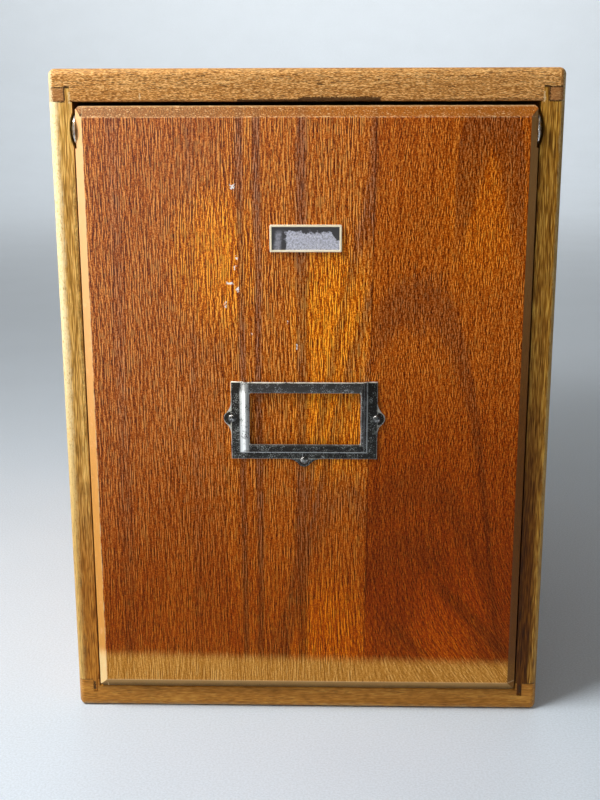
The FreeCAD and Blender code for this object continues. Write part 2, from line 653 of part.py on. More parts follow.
def make_drawer(number, row):
    """One drawer, drawn from the middle of the lower edge of its face."""
    name = f"drawer_{number:02d}"
    place = ("0", f"{DRAWER_FACE} - sizes.case_depth / 2", drawer_level(row))
    front = keep(new_body(f"{name}_front", place), f"{name}_front")
    pad(front, "front", "XZ_Plane", "0", "sizes.front_thickness",
        rectangle(f"-{HALF_DRAWER}", HALF_DRAWER, "0", FRONT_HEIGHT))
    ease(front, "front_bevel", "Chamfer", "sizes.front_arris", lambda edge: lies_on(edge, y="0"))

    inside_length = f"({DRAWER_LENGTH} - sizes.front_thickness)"
    middle_length = f"({inside_length} - sizes.back_rail_width)"
    inside_half = f"({HALF_DRAWER} - sizes.rail_width)"
    rails = [make_rail(f"{name}_left_rail", -1), make_rail(f"{name}_right_rail", 1)]
    rails.append(block(f"{name}_middle_rail",
                       ("-sizes.rail_width / 2", "sizes.front_thickness", "sizes.bottom_thickness"),
                       ("sizes.rail_width", middle_length, "sizes.rail_height")))
    rails.append(block(f"{name}_back_rail",
                       (f"-{inside_half}", f"sizes.front_thickness + {middle_length}",
                        "sizes.bottom_thickness"),
                       (f"2 * {inside_half}", "sizes.back_rail_width", "sizes.rail_height")))
    group(f"{name}_frame", rails, place)

    bottom = block(f"{name}_bottom_board", (f"-{HALF_DRAWER}", "sizes.front_thickness", "0"),
                   (f"2 * {HALF_DRAWER}", inside_length, "sizes.bottom_thickness"))
    group(f"{name}_bottom", [bottom], place)

    face = "-sizes.knob_length"
    shoulder = "(sizes.knob_head - sizes.knob_length)"
    profile = [("0", face), ("sizes.knob_radius", face), ("sizes.knob_radius", shoulder),
               ("sizes.knob_neck", shoulder), ("sizes.knob_neck", "0"), ("0", "0")]
    knob_place = (place[0], place[1], f"{place[2]} + {FRONT_HEIGHT} / 2")
    keep(turn_solid(f"{name}_knob", knob_place, 0, profile), f"{name}_knob")


def check_model():
    """Stops where an object has failed or a sub-part has no sound solid."""
    for item in doc.Objects:
        if "Invalid" in item.State or "Error" in item.State:
            raise ValueError(f"{item.Label} failed: {item.State}")
    for label, item in sub_parts.items():
        shape = item.Shape
        if shape.isNull() or not shape.isValid() or not shape.Solids:
            raise ValueError(f"{label} has no sound solid")


def write_parts():
    os.makedirs(PARTS_FOLDER, exist_ok=True)
    for label, item in sub_parts.items():
        item.Shape.exportStep(os.path.join(PARTS_FOLDER, f"{label}.step"))
    print(f"{len(sub_parts)} sub-parts written")


fill_sheet()
make_top_board()
make_bottom_board()
make_side_board("left_side", -1)
make_side_board("right_side", 1)
make_back_panel()
make_side_runners()
make_door_panel()
make_pivot_buttons()
make_label_holder()
make_holder_pins()
make_name_plate()
for drawer_number in range(1, DRAWER_COUNT + 1):
    make_drawer(drawer_number, DRAWER_COUNT - drawer_number)
doc.recompute()
check_model()
write_parts()
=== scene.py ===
"""Looks of a small oak slide cabinet: worn varnished boards, blackened steel and dull brass."""

import logging
import math
from dataclasses import dataclass, replace
from enum import Enum
from typing import Optional, Sequence, Union

import bmesh
import bpy
from mathutils import Matrix, Vector


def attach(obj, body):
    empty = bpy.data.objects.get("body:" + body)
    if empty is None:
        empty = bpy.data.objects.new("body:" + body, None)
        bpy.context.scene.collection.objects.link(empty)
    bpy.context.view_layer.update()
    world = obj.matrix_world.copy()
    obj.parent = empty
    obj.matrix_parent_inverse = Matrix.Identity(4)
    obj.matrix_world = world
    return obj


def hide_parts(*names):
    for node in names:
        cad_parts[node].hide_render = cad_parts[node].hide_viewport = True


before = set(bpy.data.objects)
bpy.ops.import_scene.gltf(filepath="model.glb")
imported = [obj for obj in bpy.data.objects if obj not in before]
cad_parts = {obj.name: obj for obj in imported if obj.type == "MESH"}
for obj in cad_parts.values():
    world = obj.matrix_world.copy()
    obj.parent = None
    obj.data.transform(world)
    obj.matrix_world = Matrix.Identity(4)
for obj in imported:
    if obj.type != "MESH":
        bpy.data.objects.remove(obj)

Colour = tuple[float, float, float]
Spot = tuple[float, float]
Spot3 = tuple[float, float, float]
Number = Union[float, "Term"]

MM = 0.001
FRONT_PLANE = -184.15
DOOR_FACE = -188.15
log = logging.getLogger("slide_cabinet")


class Lay(Enum):
    """How a board lies: its axes across, through and along the fibres."""

    DOOR = (0, 1, 2)
    SIDE = (1, 0, 2)
    SHELF = (1, 2, 0)
    FRONT = (2, 1, 0)
    RAIL = (0, 2, 1)


class Blend(Enum):
    """How one colour is laid over another."""

    OVER = "MIX"
    TIMES = "MULTIPLY"
    PLUS = "ADD"


class Term:
    """A socket of a node tree that takes ordinary arithmetic."""

    def __init__(self, recipe: "Recipe", socket: bpy.types.NodeSocket) -> None:
        """Holds one output socket of a recipe."""
        self.recipe = recipe
        self.socket = socket

    def _join(self, operation: str, first: Number, second: Number) -> "Term":
        """Adds one Math node, or a Vector Math node where either side is a vector.

        Args:
            operation: name of the node's operation.
            first: left side.
            second: right side.

        Returns:
            The result.
        """
        sides = (first, second)
        vectors = any(isinstance(side, Term) and side.socket.type == "VECTOR" for side in sides)
        kind = "ShaderNodeVectorMath" if vectors else "ShaderNodeMath"
        values = {}
        for index, side in enumerate(sides):
            plain = not isinstance(side, Term)
            values[index] = (side,) * 3 if plain and vectors else side
        return self.recipe.node(kind, {"operation": operation}, values)

    def __add__(self, other: Number) -> "Term":
        """Sum."""
        return self._join("ADD", self, other)

    def __radd__(self, other: Number) -> "Term":
        """Sum with a plain number on the left."""
        return self._join("ADD", other, self)

    def __sub__(self, other: Number) -> "Term":
        """Difference."""
        return self._join("SUBTRACT", self, other)

    def __rsub__(self, other: Number) -> "Term":
        """Difference from a plain number."""
        return self._join("SUBTRACT", other, self)

    def __mul__(self, other: Number) -> "Term":
        """Product."""
        return self._join("MULTIPLY", self, other)

    def __rmul__(self, other: Number) -> "Term":
        """Product with a plain number on the left."""
        return self._join("MULTIPLY", other, self)

    def __truediv__(self, other: Number) -> "Term":
        """Quotient."""
        return self._join("DIVIDE", self, other)

    def __pow__(self, other: Number) -> "Term":
        """Power."""
        return self._join("POWER", self, other)

    def __abs__(self) -> "Term":
        """Size without its sign."""
        return self._join("ABSOLUTE", self, 0.0)

    def fraction(self) -> "Term":
        """Part after the decimal point."""
        return self._join("FRACT", self, 0.0)

    def whole(self) -> "Term":
        """Whole number below it."""
        return self._join("FLOOR", self, 0.0)

    def below(self, other: Number) -> "Term":
        """The smaller of the two."""
        return self._join("MINIMUM", self, other)

    def above(self, other: Number) -> "Term":
        """The larger of the two."""
        return self._join("MAXIMUM", self, other)


class Recipe:
    """Node tree of one finish, written as expressions."""

    def __init__(self, name: str) -> None:
        """Starts an empty material with that name."""
        self.material = bpy.data.materials.new(name)
        self.material.use_nodes = True
        self.tree = self.material.node_tree
        self.tree.nodes.clear()

    def node(self, kind: str, settings: Optional[dict] = None, sockets: Optional[dict] = None,
             output: Union[int, str] = 0) -> Term:
        """Adds a node: its settings first, then the values or links of its sockets.

        Args:
            kind: node type.
            settings: properties of the node; "stops" are the stops of a colour ramp.
            sockets: input name or number to a Term or a plain value.
            output: which output to return.

        Returns:
            The chosen output.
        """
        made = self.tree.nodes.new(kind)
        for key, value in (settings or {}).items():
            if key == "stops":
                self._set_stops(made.color_ramp, value)
            else:
                setattr(made, key, value)
        for key, value in (sockets or {}).items():
            if isinstance(value, Term):
                self.tree.links.new(value.socket, made.inputs[key])
            else:
                made.inputs[key].default_value = value
        return Term(self, made.outputs[output]) if made.outputs else None

    @staticmethod
    def _set_stops(ramp: bpy.types.ColorRamp, stops: Sequence[tuple[float, Colour]]) -> None:
        """Gives a colour ramp its stops."""
        while len(ramp.elements) > 1:
            ramp.elements.remove(ramp.elements[-1])
        for number, (position, colour) in enumerate(stops):
            element = ramp.elements[0] if number == 0 else ramp.elements.new(position)
            element.position = position
            element.color = (*colour, 1.0)

    def place(self) -> Term:
        """Place on the piece, in millimetres of the cabinet's own frame."""
        return self.node("ShaderNodeTexCoord", output="Object") * 1000.0

    def split(self, vector: Term) -> tuple[Term, Term, Term]:
        """The three numbers of a vector."""
        return tuple(self.node("ShaderNodeSeparateXYZ", None, {0: vector}, part) for part in range(3))

    def vector(self, x: Number, y: Number, z: Number) -> Term:
        """A vector of three numbers."""
        return self.node("ShaderNodeCombineXYZ", None, {0: x, 1: y, 2: z})

    def smooth(self, value: Number, low: float, high: float) -> Term:
        """Rises softly from 0 at low to 1 at high, or falls where high is the smaller."""
        flip = high < low
        ends = {"From Min": min(low, high), "From Max": max(low, high),
                "To Min": 1.0 if flip else 0.0, "To Max": 0.0 if flip else 1.0}
        return self.node("ShaderNodeMapRange", {"interpolation_type": "SMOOTHSTEP"},
                         {"Value": value, **ends})

    def noise(self, vector: Term, detail: float = 2.0, roughness: float = 0.5,
              twist: float = 0.0) -> Term:
        """Cloudy value from 0 to 1 whose cells are one unit of the vector across."""
        return self.node("ShaderNodeTexNoise", {"noise_dimensions": "3D"},
                         {"Vector": vector, "Scale": 1.0, "Detail": detail,
                          "Roughness": roughness, "Distortion": twist})

    def mix(self, base: Union[Term, Colour], over: Union[Term, Colour], share: Number,
            blend: Blend = Blend.OVER) -> Term:
        """Lays one colour over another.

        Args:
            base: colour below.
            over: colour above.
            share: how much of the upper colour shows.
            blend: how they mix.

        Returns:
            The mixed colour.
        """
        sides = [side if isinstance(side, Term) else (*side, 1.0) for side in (base, over)]
        settings = {"data_type": "RGBA", "blend_type": blend.value, "clamp_factor": True}
        return self.node("ShaderNodeMix", settings, {0: share, 6: sides[0], 7: sides[1]}, 2)

    def ramp(self, value: Number, stops: Sequence[tuple[float, Colour]]) -> Term:
        """Colour that goes with a value."""
        return self.node("ShaderNodeValToRGB", {"stops": stops}, {0: value})

    def bump(self, height: Term, depth: float, below: Optional[Term] = None) -> Term:
        """Relief from a height of 0 to 1.

        Args:
            height: the height.
            depth: how deep a full step is, in millimetres.
            below: relief that this one lies on.

        Returns:
            The bent normal.
        """
        values = {"Height": height, "Distance": depth * MM}
        if below is not None:
            values["Normal"] = below
        return self.node("ShaderNodeBump", None, values)

    def end(self, **sockets: Union[Term, float, Colour]) -> bpy.types.Material:
        """Ends the tree in one Principled surface; the words name its sockets, joined by _."""
        named = {}
        for key, value in sockets.items():
            plain_colour = isinstance(value, tuple) and len(value) == 3
            named[key.replace("_", " ")] = (*value, 1.0) if plain_colour else value
        surface = self.node("ShaderNodeBsdfPrincipled", None, named)
        self.node("ShaderNodeOutputMaterial", None, {"Surface": surface})
        return self.material


@dataclass
class Skin:
    """What a finish works out for a surface before it is closed."""

    tone: Term
    colour: Term
    rough: Term
    height: Term
    gloss: Number


@dataclass(frozen=True)
class Place:
    """Where a point lies: the cabinet's axes, and the board's own across, through and along."""

    x: Term
    y: Term
    z: Term
    across: Term
    through: Term
    along: Term


@dataclass(frozen=True)
class Patch:
    """A soft-edged mark on the front: its middle, half its width and half its height."""

    x: float
    z: float
    wide: float
    tall: float
    colour: Colour
    share: float = 0.9
    ragged: float = 0.5
    soft: float = 0.3


@dataclass(frozen=True)
class Oak:
    """Open-pored oak under old varnish. Lengths are in millimetres."""

    name: str
    lay: Lay
    deep: Colour = (0.11, 0.035, 0.012)
    middle: Colour = (0.30, 0.125, 0.035)
    pale: Colour = (0.52, 0.28, 0.10)
    pore: Colour = (0.045, 0.016, 0.007)
    pith: Spot = (20.0, 60.0)
    lean: Spot = (0.01, 0.03)
    ring_gap: float = 3.6
    ring_share: float = 0.12
    thread: Spot = (0.40, 7.0)
    thread_share: float = 1.6
    streak: Spot = (2.6, 45.0)
    streak_share: float = 0.45
    dash: Spot = (0.5, 4.0)
    dash_share: float = 0.7
    wander: float = 3.0
    relief: float = 0.04
    gloss: float = 0.06
    sheen: Colour = (1.0, 0.72, 0.45)
    rough: float = 0.42
    seed: float = 0.0

    def lie(self, recipe: Recipe) -> Place:
        """Axes of the board."""
        axes = recipe.split(recipe.place())
        across, through, along = (axes[index] for index in self.lay.value)
        return Place(*axes, across, through, along)

    def bend(self, recipe: Recipe, at: Place) -> Place:
        """Lets the fibres wander a little from straight."""
        slow = recipe.noise(recipe.vector(at.across / 60.0 + self.seed, at.through / 60.0, at.along / 90.0), 1.0)
        return replace(at, across=at.across + (slow - 0.5) * self.wander)

    def fibres(self, recipe: Recipe, at: Place, size: Spot, shift: float, detail: float = 1.0) -> Term:
        """Noise drawn out along the fibres, by a size across and a length along."""
        spot = recipe.vector(at.across / size[0] + (self.seed + shift), at.through / size[0], at.along / size[1])
        return recipe.noise(spot, detail, 0.6)

    def strands(self, recipe: Recipe, at: Place, size: Spot, shift: float) -> Term:
        """Straight strands side by side, each light where its neighbour is dark."""
        column = (at.across / size[0]).whole() * 7.31 + (self.seed + shift)
        layer = (at.through / size[0]).whole() * 5.17
        own, next_one = (recipe.noise(recipe.vector(column + step, layer, at.along / size[1]), 0.0)
                         for step in (0.0, 7.31))
        return (own - next_one) * 0.7 + 0.5

    def rings(self, recipe: Recipe, at: Place) -> Term:
        """Late wood of the year rings, from 0 to 1."""
        ruffle = self.fibres(recipe, at, (5.0, 50.0), 3.0) - 0.5
        side = at.across - self.pith[0] - at.along * self.lean[0]
        deep = at.through - self.pith[1] - at.along * self.lean[1]
        radius = (side * side + deep * deep) ** 0.5 + ruffle * (self.ring_gap * 0.9)
        turn = (radius / self.ring_gap).fraction()
        return recipe.smooth(turn, 0.15, 0.85) * recipe.smooth(turn, 1.0, 0.9)

    def threads(self, recipe: Recipe, at: Place) -> Term:
        """Fine light and dark threads, about 0."""
        return self.fibres(recipe, at, self.thread, 0.0) - 0.5

    def stain(self, recipe: Recipe, at: Place, colour: Term) -> Term:
        """Hook for flames, stripes and the tone of the varnish."""
        return colour

    def marks(self, recipe: Recipe, at: Place, skin: Skin) -> Skin:
        """Hook for wear, dirt and scratches."""
        return skin

    def lay_patches(self, recipe: Recipe, at: Place, colour: Term, patches: Sequence[Patch],
                    front: float) -> tuple[Term, Term]:
        """Paints patches on what lies at the front.

        Args:
            recipe: the finish.
            at: place on the board.
            colour: colour below.
            patches: the patches.
            front: plane that they reach 3 mm back from.

        Returns:
            The painted colour, and how much of it is painted.
        """
        shake = recipe.noise(recipe.vector(at.x / 0.7, at.y / 0.7, at.z / 0.9), 2.0, 0.6) - 0.5
        near = recipe.smooth(at.y, front + 4.0, front + 3.0)
        painted = shake * 0.0
        for patch in patches:
            beside = (abs(at.x - patch.x) - patch.wide).above(abs(at.z - patch.z) - patch.tall)
            share = recipe.smooth(beside + shake * (patch.ragged * 2.0), patch.soft, -0.1) * near * patch.share
            colour = recipe.mix(colour, patch.colour, share)
            painted = painted.above(share)
        return colour, painted

    def material(self) -> bpy.types.Material:
        """Builds the wood."""
        recipe = Recipe(self.name)
        at = self.bend(recipe, self.lie(recipe))
        late = self.rings(recipe, at)
        thread = self.threads(recipe, at)
        streak = self.fibres(recipe, at, self.streak, 9.0, 2.0) - 0.5
        tone = 0.5 + thread * self.thread_share + streak * self.streak_share
        tone = tone - (late - 0.4) * self.ring_share
        colour = recipe.ramp(tone, [(0.08, self.deep), (0.5, self.middle), (0.92, self.pale)])
        dash = recipe.smooth(self.strands(recipe, at, self.dash, 31.0), 0.57, 0.70)
        pore = dash * (0.6 + 0.4 * (1.0 - late)) * self.dash_share
        colour = recipe.mix(colour, self.pore, pore)
        colour = self.stain(recipe, at, colour)
        height = thread * 0.6 - pore * 0.8
        skin = Skin(tone, colour, self.rough + thread * 0.2 + pore * 0.15, height, self.gloss)
        skin = self.marks(recipe, at, skin)
        return recipe.end(Base_Color=skin.colour, Roughness=skin.rough, Coat_Weight=skin.gloss,
                          Normal=recipe.bump(skin.height, self.relief), Coat_Roughness=0.25,
                          Specular_IOR_Level=0.22, Specular_Tint=self.sheen)


def edge_distance(at: Place, low: Spot3, high: Spot3) -> Term:
    """Distance in millimetres to the nearest long edge of a box.

    Args:
        at: place on the board.
        low: lowest corner.
        high: highest corner.

    Returns:
        0 on an edge of the box, larger away from it.
    """
    gaps = []
    for start, stop, value in zip(low, high, (at.x, at.y, at.z)):
        gaps.append((stop - start) / 2 - abs(value - (start + stop) / 2))
    first, second, third = gaps
    return first.above(second).below(second.above(third)).below(first.above(third))


CRACK = (0.035, 0.016, 0.006)
END_GRAIN = (0.30, 0.12, 0.045)
CHIP = (0.80, 0.62, 0.36)


def corner_marks(side: int) -> tuple[Patch, ...]:
    """Open joints, end grain and chips at both corners of one side of the case."""
    return (
        Patch(side * 109.9, 298.2, 2.9, 2.8, END_GRAIN, 0.55, 0.3, 0.8),
        Patch(side * 108.9, 301.3, 4.0, 0.20, CRACK),
        Patch(side * 107.1, 298.4, 0.22, 3.0, CRACK),
        Patch(side * 110.4, 295.2, 3.2, 0.22, CRACK),
        Patch(side * 111.2, 292.5, 0.15, 2.4, CRACK, 0.4),
        Patch(side * 104.9, 297.0, 0.25, 2.2, CHIP, 0.6, 1.2),
        Patch(side * 114.0, 300.5, 1.1 if side < 0 else 0.35, 7.5, CHIP, 0.85, 2.2, 0.8),
        Patch(side * 106.1, 11.2, 0.35, 2.0, CRACK, 0.9, 0.9, 0.5),
        Patch(side * 110.2, 14.3, 2.9, 0.22, CRACK, 0.6),
    )


TORN_EDGE = (
    Patch(15.0, 296.0, 18.0, 0.85, (0.05, 0.02, 0.008), 0.9, 1.2, 0.5),
    Patch(-16.0, 295.6, 14.0, 0.35, (0.05, 0.02, 0.008), 0.9, 0.8, 0.4),
    Patch(-46.0, 306.2, 1.6, 0.14, CRACK, 0.8), Patch(6.0, 302.6, 1.0, 0.25, CRACK, 0.8),
    Patch(-73.5, 297.6, 0.15, 1.2, CHIP, 0.6), Patch(64.0, 301.5, 1.4, 0.14, CRACK, 0.7),
)


@dataclass(frozen=True)
class CaseOak(Oak):
    """Oak of the case: rubbed pale on its outer edges, dark in its open joints."""

    low: Spot3 = (-114.3, -184.15, 0.0)
    high: Spot3 = (114.3, 184.15, 309.5)
    rubbed: Colour = (0.66, 0.46, 0.22)
    rub_width: float = 2.4
    rub_share: float = 0.6
    grime: Colour = (0.035, 0.016, 0.006)
    grime_share: float = 0.25
    patches: tuple[Patch, ...] = ()
    varnish: tuple[Colour, Colour] = ((0.30, 0.100, 0.014), (0.56, 0.240, 0.050))

    def stain(self, recipe: Recipe, at: Place, colour: Term) -> Term:
        """Shows the broad figure of the board on the faces behind the front."""
        behind = recipe.smooth(at.y, FRONT_PLANE + 3.0, FRONT_PLANE + 9.0)
        figure = self.rings(recipe, at) * 0.35 + self.fibres(recipe, at, (7.0, 110.0), 19.0, 2.0)
        warm = recipe.mix(self.varnish[1], self.varnish[0], recipe.smooth(figure, 0.35, 0.95))
        return recipe.mix(colour, warm, behind * 0.66)

    def marks(self, recipe: Recipe, at: Place, skin: Skin) -> Skin:
        """Rubs the edges, soils the wood here and there and opens the joints."""
        spot = recipe.vector(at.x, at.y, at.z)
        gap = edge_distance(at, self.low, self.high)
        ragged = recipe.noise(spot / 6.0, 4.0, 0.7)
        rub = recipe.smooth(gap + (ragged - 0.5) * 5.0, self.rub_width, 0.3) * self.rub_share
        colour = recipe.mix(skin.colour, self.rubbed, rub)
        soil = recipe.smooth(recipe.noise(spot / 22.0, 4.0, 0.65), 0.56, 0.74) * self.grime_share
        colour = recipe.mix(colour, self.grime, soil)
        colour, painted = self.lay_patches(recipe, at, colour, self.patches, FRONT_PLANE)
        return replace(skin, colour=colour, rough=skin.rough + rub * 0.15 + soil * 0.1,
                       height=skin.height - painted * 1.5)


@dataclass(frozen=True)
class SideOak(CaseOak):
    """Side board: a rubbed outer edge with a painted highlight, a front edge painted darker towards the foot,
    partly a darker varnish, and a warmer outer face.
    """

    side: int = -1
    edge_width: float = 4.6
    worn_edge_highlight: Colour = (0.80, 0.68, 0.42)
    worn_edge_highlight_low: Colour = (0.74, 0.48, 0.15)
    edge_share: float = 0.85
    edge_foot: float = 0.25
    inner_share: float = 0.5
    dark: Colour = (0.65, 0.45, 0.20)
    dark_span: Spot = (150.0, 55.0)
    dark_reach: float = 12.0
    varnish: tuple[Colour, Colour] = ((0.27, 0.070, 0.007), (0.50, 0.175, 0.024))

    def stain(self, recipe: Recipe, at: Place, colour: Term) -> Term:
        """Also darkens the front edge towards the foot: painted shade, partly a darker finish."""
        outer = 114.3 - at.x * float(self.side)
        slow = self.fibres(recipe, at, (3.0, 60.0), 17.0, 2.0) - 0.5
        fall = recipe.smooth(at.z + slow * 60.0, self.dark_span[0], self.dark_span[1])
        reach = recipe.smooth(outer + slow * 4.0, 10.5 - self.dark_reach - 1.5, 10.5 - self.dark_reach + 1.5)
        front = recipe.smooth(at.y, FRONT_PLANE + 9.0, FRONT_PLANE + 3.0)
        # painted shade: the front edge is darker towards the foot, partly a darker finish
        colour = recipe.mix(colour, self.dark, fall * reach * front, Blend.TIMES)
        return super().stain(recipe, at, colour)

    def marks(self, recipe: Recipe, at: Place, skin: Skin) -> Skin:
        """Lays the rubbed outer edge, with its painted highlight, and the soiled inner edge over the wood."""
        skin = super().marks(recipe, at, skin)
        spot = recipe.vector(at.x, at.y, at.z)
        ragged = recipe.noise(spot / 7.0, 4.0, 0.7)
        fine = recipe.noise(recipe.vector(at.x / 0.5, at.y / 0.5, at.z / 1.4), 3.0, 0.75)
        outer = 114.3 - at.x * float(self.side)
        # the rubbed outer edge also carries a painted highlight, paler and stronger towards the top where the
        # light falls
        fall = recipe.smooth(at.z, 30.0, 170.0) * (1.0 - self.edge_foot) + self.edge_foot
        rub = recipe.smooth(outer + (ragged - 0.5) * 3.5, self.edge_width, self.edge_width * 0.45) * fall
        front = recipe.smooth(at.y, FRONT_PLANE + 9.0, FRONT_PLANE + 3.0)
        rub = rub * front * self.edge_share * recipe.smooth(fine, 0.30, 0.50)
        tone = recipe.mix(self.worn_edge_highlight_low, self.worn_edge_highlight, recipe.smooth(at.z, 70.0, 200.0))
        colour = recipe.mix(skin.colour, tone, rub)
        inner = outer * -1.0 + 10.5
        reach = recipe.smooth(inner + (ragged - 0.5) * 4.5, 2.4, 0.2)
        soiled = reach * recipe.smooth(fine, 0.62, 0.46) * front * self.inner_share
        soiled = soiled * recipe.smooth(at.z, 120.0, 160.0) * recipe.smooth(at.z, 275.0, 255.0)
        colour = recipe.mix(colour, self.grime, soiled)
        return replace(skin, colour=colour, height=skin.height - soiled)


@dataclass(frozen=True)
class Arch:
    """A flame of the grain: a dark band that opens downwards from its tip."""

    x: float
    z: float
    steep: float
    thick: float
    share: float
    power: float = 1.4
    soft: float = 6.0
    reach: float = 200.0
    foot: float = -50.0
    stave: int = 1


@dataclass(frozen=True)
class Stripe:
    """A dark stripe that runs up the whole door."""

    x: float
    half: float
    share: float


@dataclass(frozen=True)
class Streak:
    """A slanting stripe, from one end to the other."""

    start: Spot
    end: Spot
    half: float
    share: float


SCAR = (0.97, 0.93, 0.92)


@dataclass(frozen=True)
class DoorOak(Oak):
    """Wood of the door: three glued staves with flames, a faded foot and worn bevels, with painted shade towards
    the foot, painted light and shade on the bevels and a painted reflection at the top left.
    """

    joints: Spot = (-38.0, 30.2)
    short_thread: Spot = (0.45, 2.6)
    arches: tuple[Arch, ...] = (
        Arch(82.0, 334.0, 1.43, 60.0, 0.75, reach=15.5, foot=232.0, soft=4.0),
        Arch(50.0, 219.0, 0.0046, 24.0, 0.65, 2.8),
        Arch(52.0, 128.0, 0.02, 18.0, 0.4, 2.2),
        Arch(48.0, 96.0, 0.02, 16.0, 0.4, 2.2),
        Arch(38.0, 286.0, 1.05, 16.0, 0.8, stave=0),
        Arch(36.0, 226.0, 0.90, 13.0, 0.95, stave=0),
        Arch(31.0, 181.0, 0.70, 10.0, 0.7, stave=0),
        Arch(18.0, 126.0, 0.60, 15.0, 0.5, stave=0),
    )
    stripes: tuple[Stripe, ...] = (
        Stripe(-29.6, 1.4, 0.90),
        Stripe(-22.0, 1.5, 0.90),
        Stripe(-1.8, 2.1, 0.90),
        Stripe(-52.0, 1.6, 0.30),
        Stripe(-86.0, 2.5, 0.35),
    )
    streaks: tuple[Streak, ...] = (
        Streak((62.0, 70.0), (98.0, 31.0), 3.4, 0.8),
        Streak((40.0, 48.0), (58.0, 30.0), 2.4, 0.5),
        Streak((31.2, 300.0), (29.4, 238.0), 1.6, 0.8),
    )
    flame: Colour = (0.56, 0.59, 1.6)
    flecks: tuple[Patch, ...] = (
        Patch(-32.9, 258.2, 0.55, 0.9, SCAR, 0.95, 2.0), Patch(-31.4, 226.6, 0.15, 0.7, SCAR, 0.9, 1.6),
        Patch(-32.2, 222.0, 0.10, 0.7, SCAR, 0.8, 1.6), Patch(-34.4, 215.0, 1.3, 0.35, SCAR, 0.95, 1.6),
        Patch(-31.2, 212.0, 0.25, 0.8, SCAR, 0.9, 1.8), Patch(-36.8, 205.0, 0.15, 0.9, SCAR, 0.8, 1.6),
        Patch(-8.2, 197.0, 0.15, 0.6, SCAR, 0.8, 1.0), Patch(-4.1, 185.2, 0.15, 1.2, SCAR, 0.8, 1.3),
        Patch(-24.8, 191.3, 0.1, 0.4, SCAR, 0.8, 1.0), Patch(-99.5, 289.6, 0.5, 0.5, CRACK, 0.8, 0.5),
        Patch(38.0, 261.2, 0.12, 0.12, SCAR, 0.8, 0.6), Patch(-69.2, 269.2, 0.30, 2.2, (0.10, 0.05, 0.04), 0.7),
    )
    gold: tuple[Spot3, ...] = ((12.0, 200.0, 0.8), (12.0, 152.0, 0.8), (80.0, 246.0, 0.35), (-42.0, 225.0, 0.7),
                               (12.0, 36.0, 0.8), (70.0, 46.0, 0.7))
    gilt: Colour = (1.64, 1.72, 0.46)
    painted_foot_shade: Colour = (0.66, 0.48, 0.14)
    ruddy: Colour = (0.95, 0.82, 0.44)
    dusk: Colour = (0.80, 0.66, 0.42)
    painted_haze_reflection: Colour = (0.62, 0.52, 0.52)
    foot: Spot = (28.7, -0.018)
    faded: tuple[Colour, Colour, Colour] = ((0.27, 0.096, 0.008), (0.54, 0.228, 0.034), (0.80, 0.44, 0.12))
    rubbed: Colour = (0.80, 0.55, 0.28)
    worn_lit_bevel: Colour = (0.67, 0.31, 0.065)
    bevel_highlight: Colour = (0.80, 0.46, 0.215)
    faded_bevel_highlight: Colour = (0.80, 0.57, 0.27)
    painted_bevel_shade: Colour = (0.22, 0.085, 0.016)
    half_width: float = 103.0
    top: float = 293.45
    bottom: float = 11.6
    side_bevel: float = 4.0
    end_bevel: float = 4.9

    def bend(self, recipe: Recipe, at: Place) -> Place:
        """Also leans the fibres of the right stave outwards towards its foot."""
        at = super().bend(recipe, at)
        drop = (120.0 - at.z).above(0.0)
        lean = drop * drop / 200.0 * recipe.smooth(at.x, 0.0, 110.0) * 0.62
        return replace(at, across=at.across - lean)

    def threads(self, recipe: Recipe, at: Place) -> Term:
        """Long threads on the left and short ones on the right, fainter towards the foot."""
        long = self.strands(recipe, at, self.thread, 0.0) - 0.5
        grain = recipe.noise(recipe.vector(at.x / 0.5, at.y / 0.5, at.z / 0.6), 0.0) - 0.5
        short = self.strands(recipe, at, self.short_thread, 13.0) - 0.5
        right = recipe.smooth(at.x, self.joints[1] - 8.0, self.joints[1] + 4.0)
        strength = recipe.smooth(at.z, 20.0, 190.0) * 0.4 + 0.6
        mixed = long * (1.0 - right * 0.9) + grain * 0.4 + short * (0.45 + right * 0.25)
        return mixed * strength

    def flames(self, recipe: Recipe, at: Place, right: Term, middle: Term) -> Term:
        """Flames, stripes and slanting streaks of the grain, from 0 to 1."""
        jag = (self.fibres(recipe, at, (0.9, 14.0), 5.0, 2.0) - 0.5) * 30.0
        slow = (self.fibres(recipe, at, (9.0, 18.0), 7.0, 2.0) - 0.5) * 14.0
        dark = right * 0.0
        for arch in self.arches:
            side = abs(at.x - arch.x) + 0.001
            fall = arch.z - at.z + jag + slow - side ** arch.power * arch.steep
            band = recipe.smooth(fall, -arch.soft, arch.soft)
            band = band * recipe.smooth(fall, arch.thick + arch.soft * 1.6, arch.thick - arch.soft)
            if arch.reach < 100.0:
                band = band * recipe.smooth(side + slow * 0.12, arch.reach + 0.8, arch.reach - 0.8)
                band = band * recipe.smooth(at.z, arch.foot - 16.0, arch.foot + 16.0)
            dark = dark.above(band * (right if arch.stave else middle) * arch.share)
        wobble = (self.fibres(recipe, at, (9.0, 80.0), 11.0) - 0.5) * 3.0
        for stripe in self.stripes:
            near = recipe.smooth(abs(at.x + wobble - stripe.x), stripe.half * 1.7, stripe.half * 0.5)
            dark = dark.above(near * stripe.share)
        for streak in self.streaks:
            run = (streak.end[0] - streak.start[0], streak.end[1] - streak.start[1])
            length = math.hypot(*run)
            off = ((at.x - streak.start[0]) * run[1] - (at.z - streak.start[1]) * run[0]) / length
            on = ((at.x - streak.start[0]) * run[0] + (at.z - streak.start[1]) * run[1]) / length
            band = recipe.smooth(abs(off) + (jag + slow) * 0.10, streak.half * 1.7, streak.half * 0.4)
            band = band * recipe.smooth(on, -8.0, 8.0) * recipe.smooth(on, length + 10.0, length - 6.0)
            dark = dark.above(band * streak.share)
        return dark

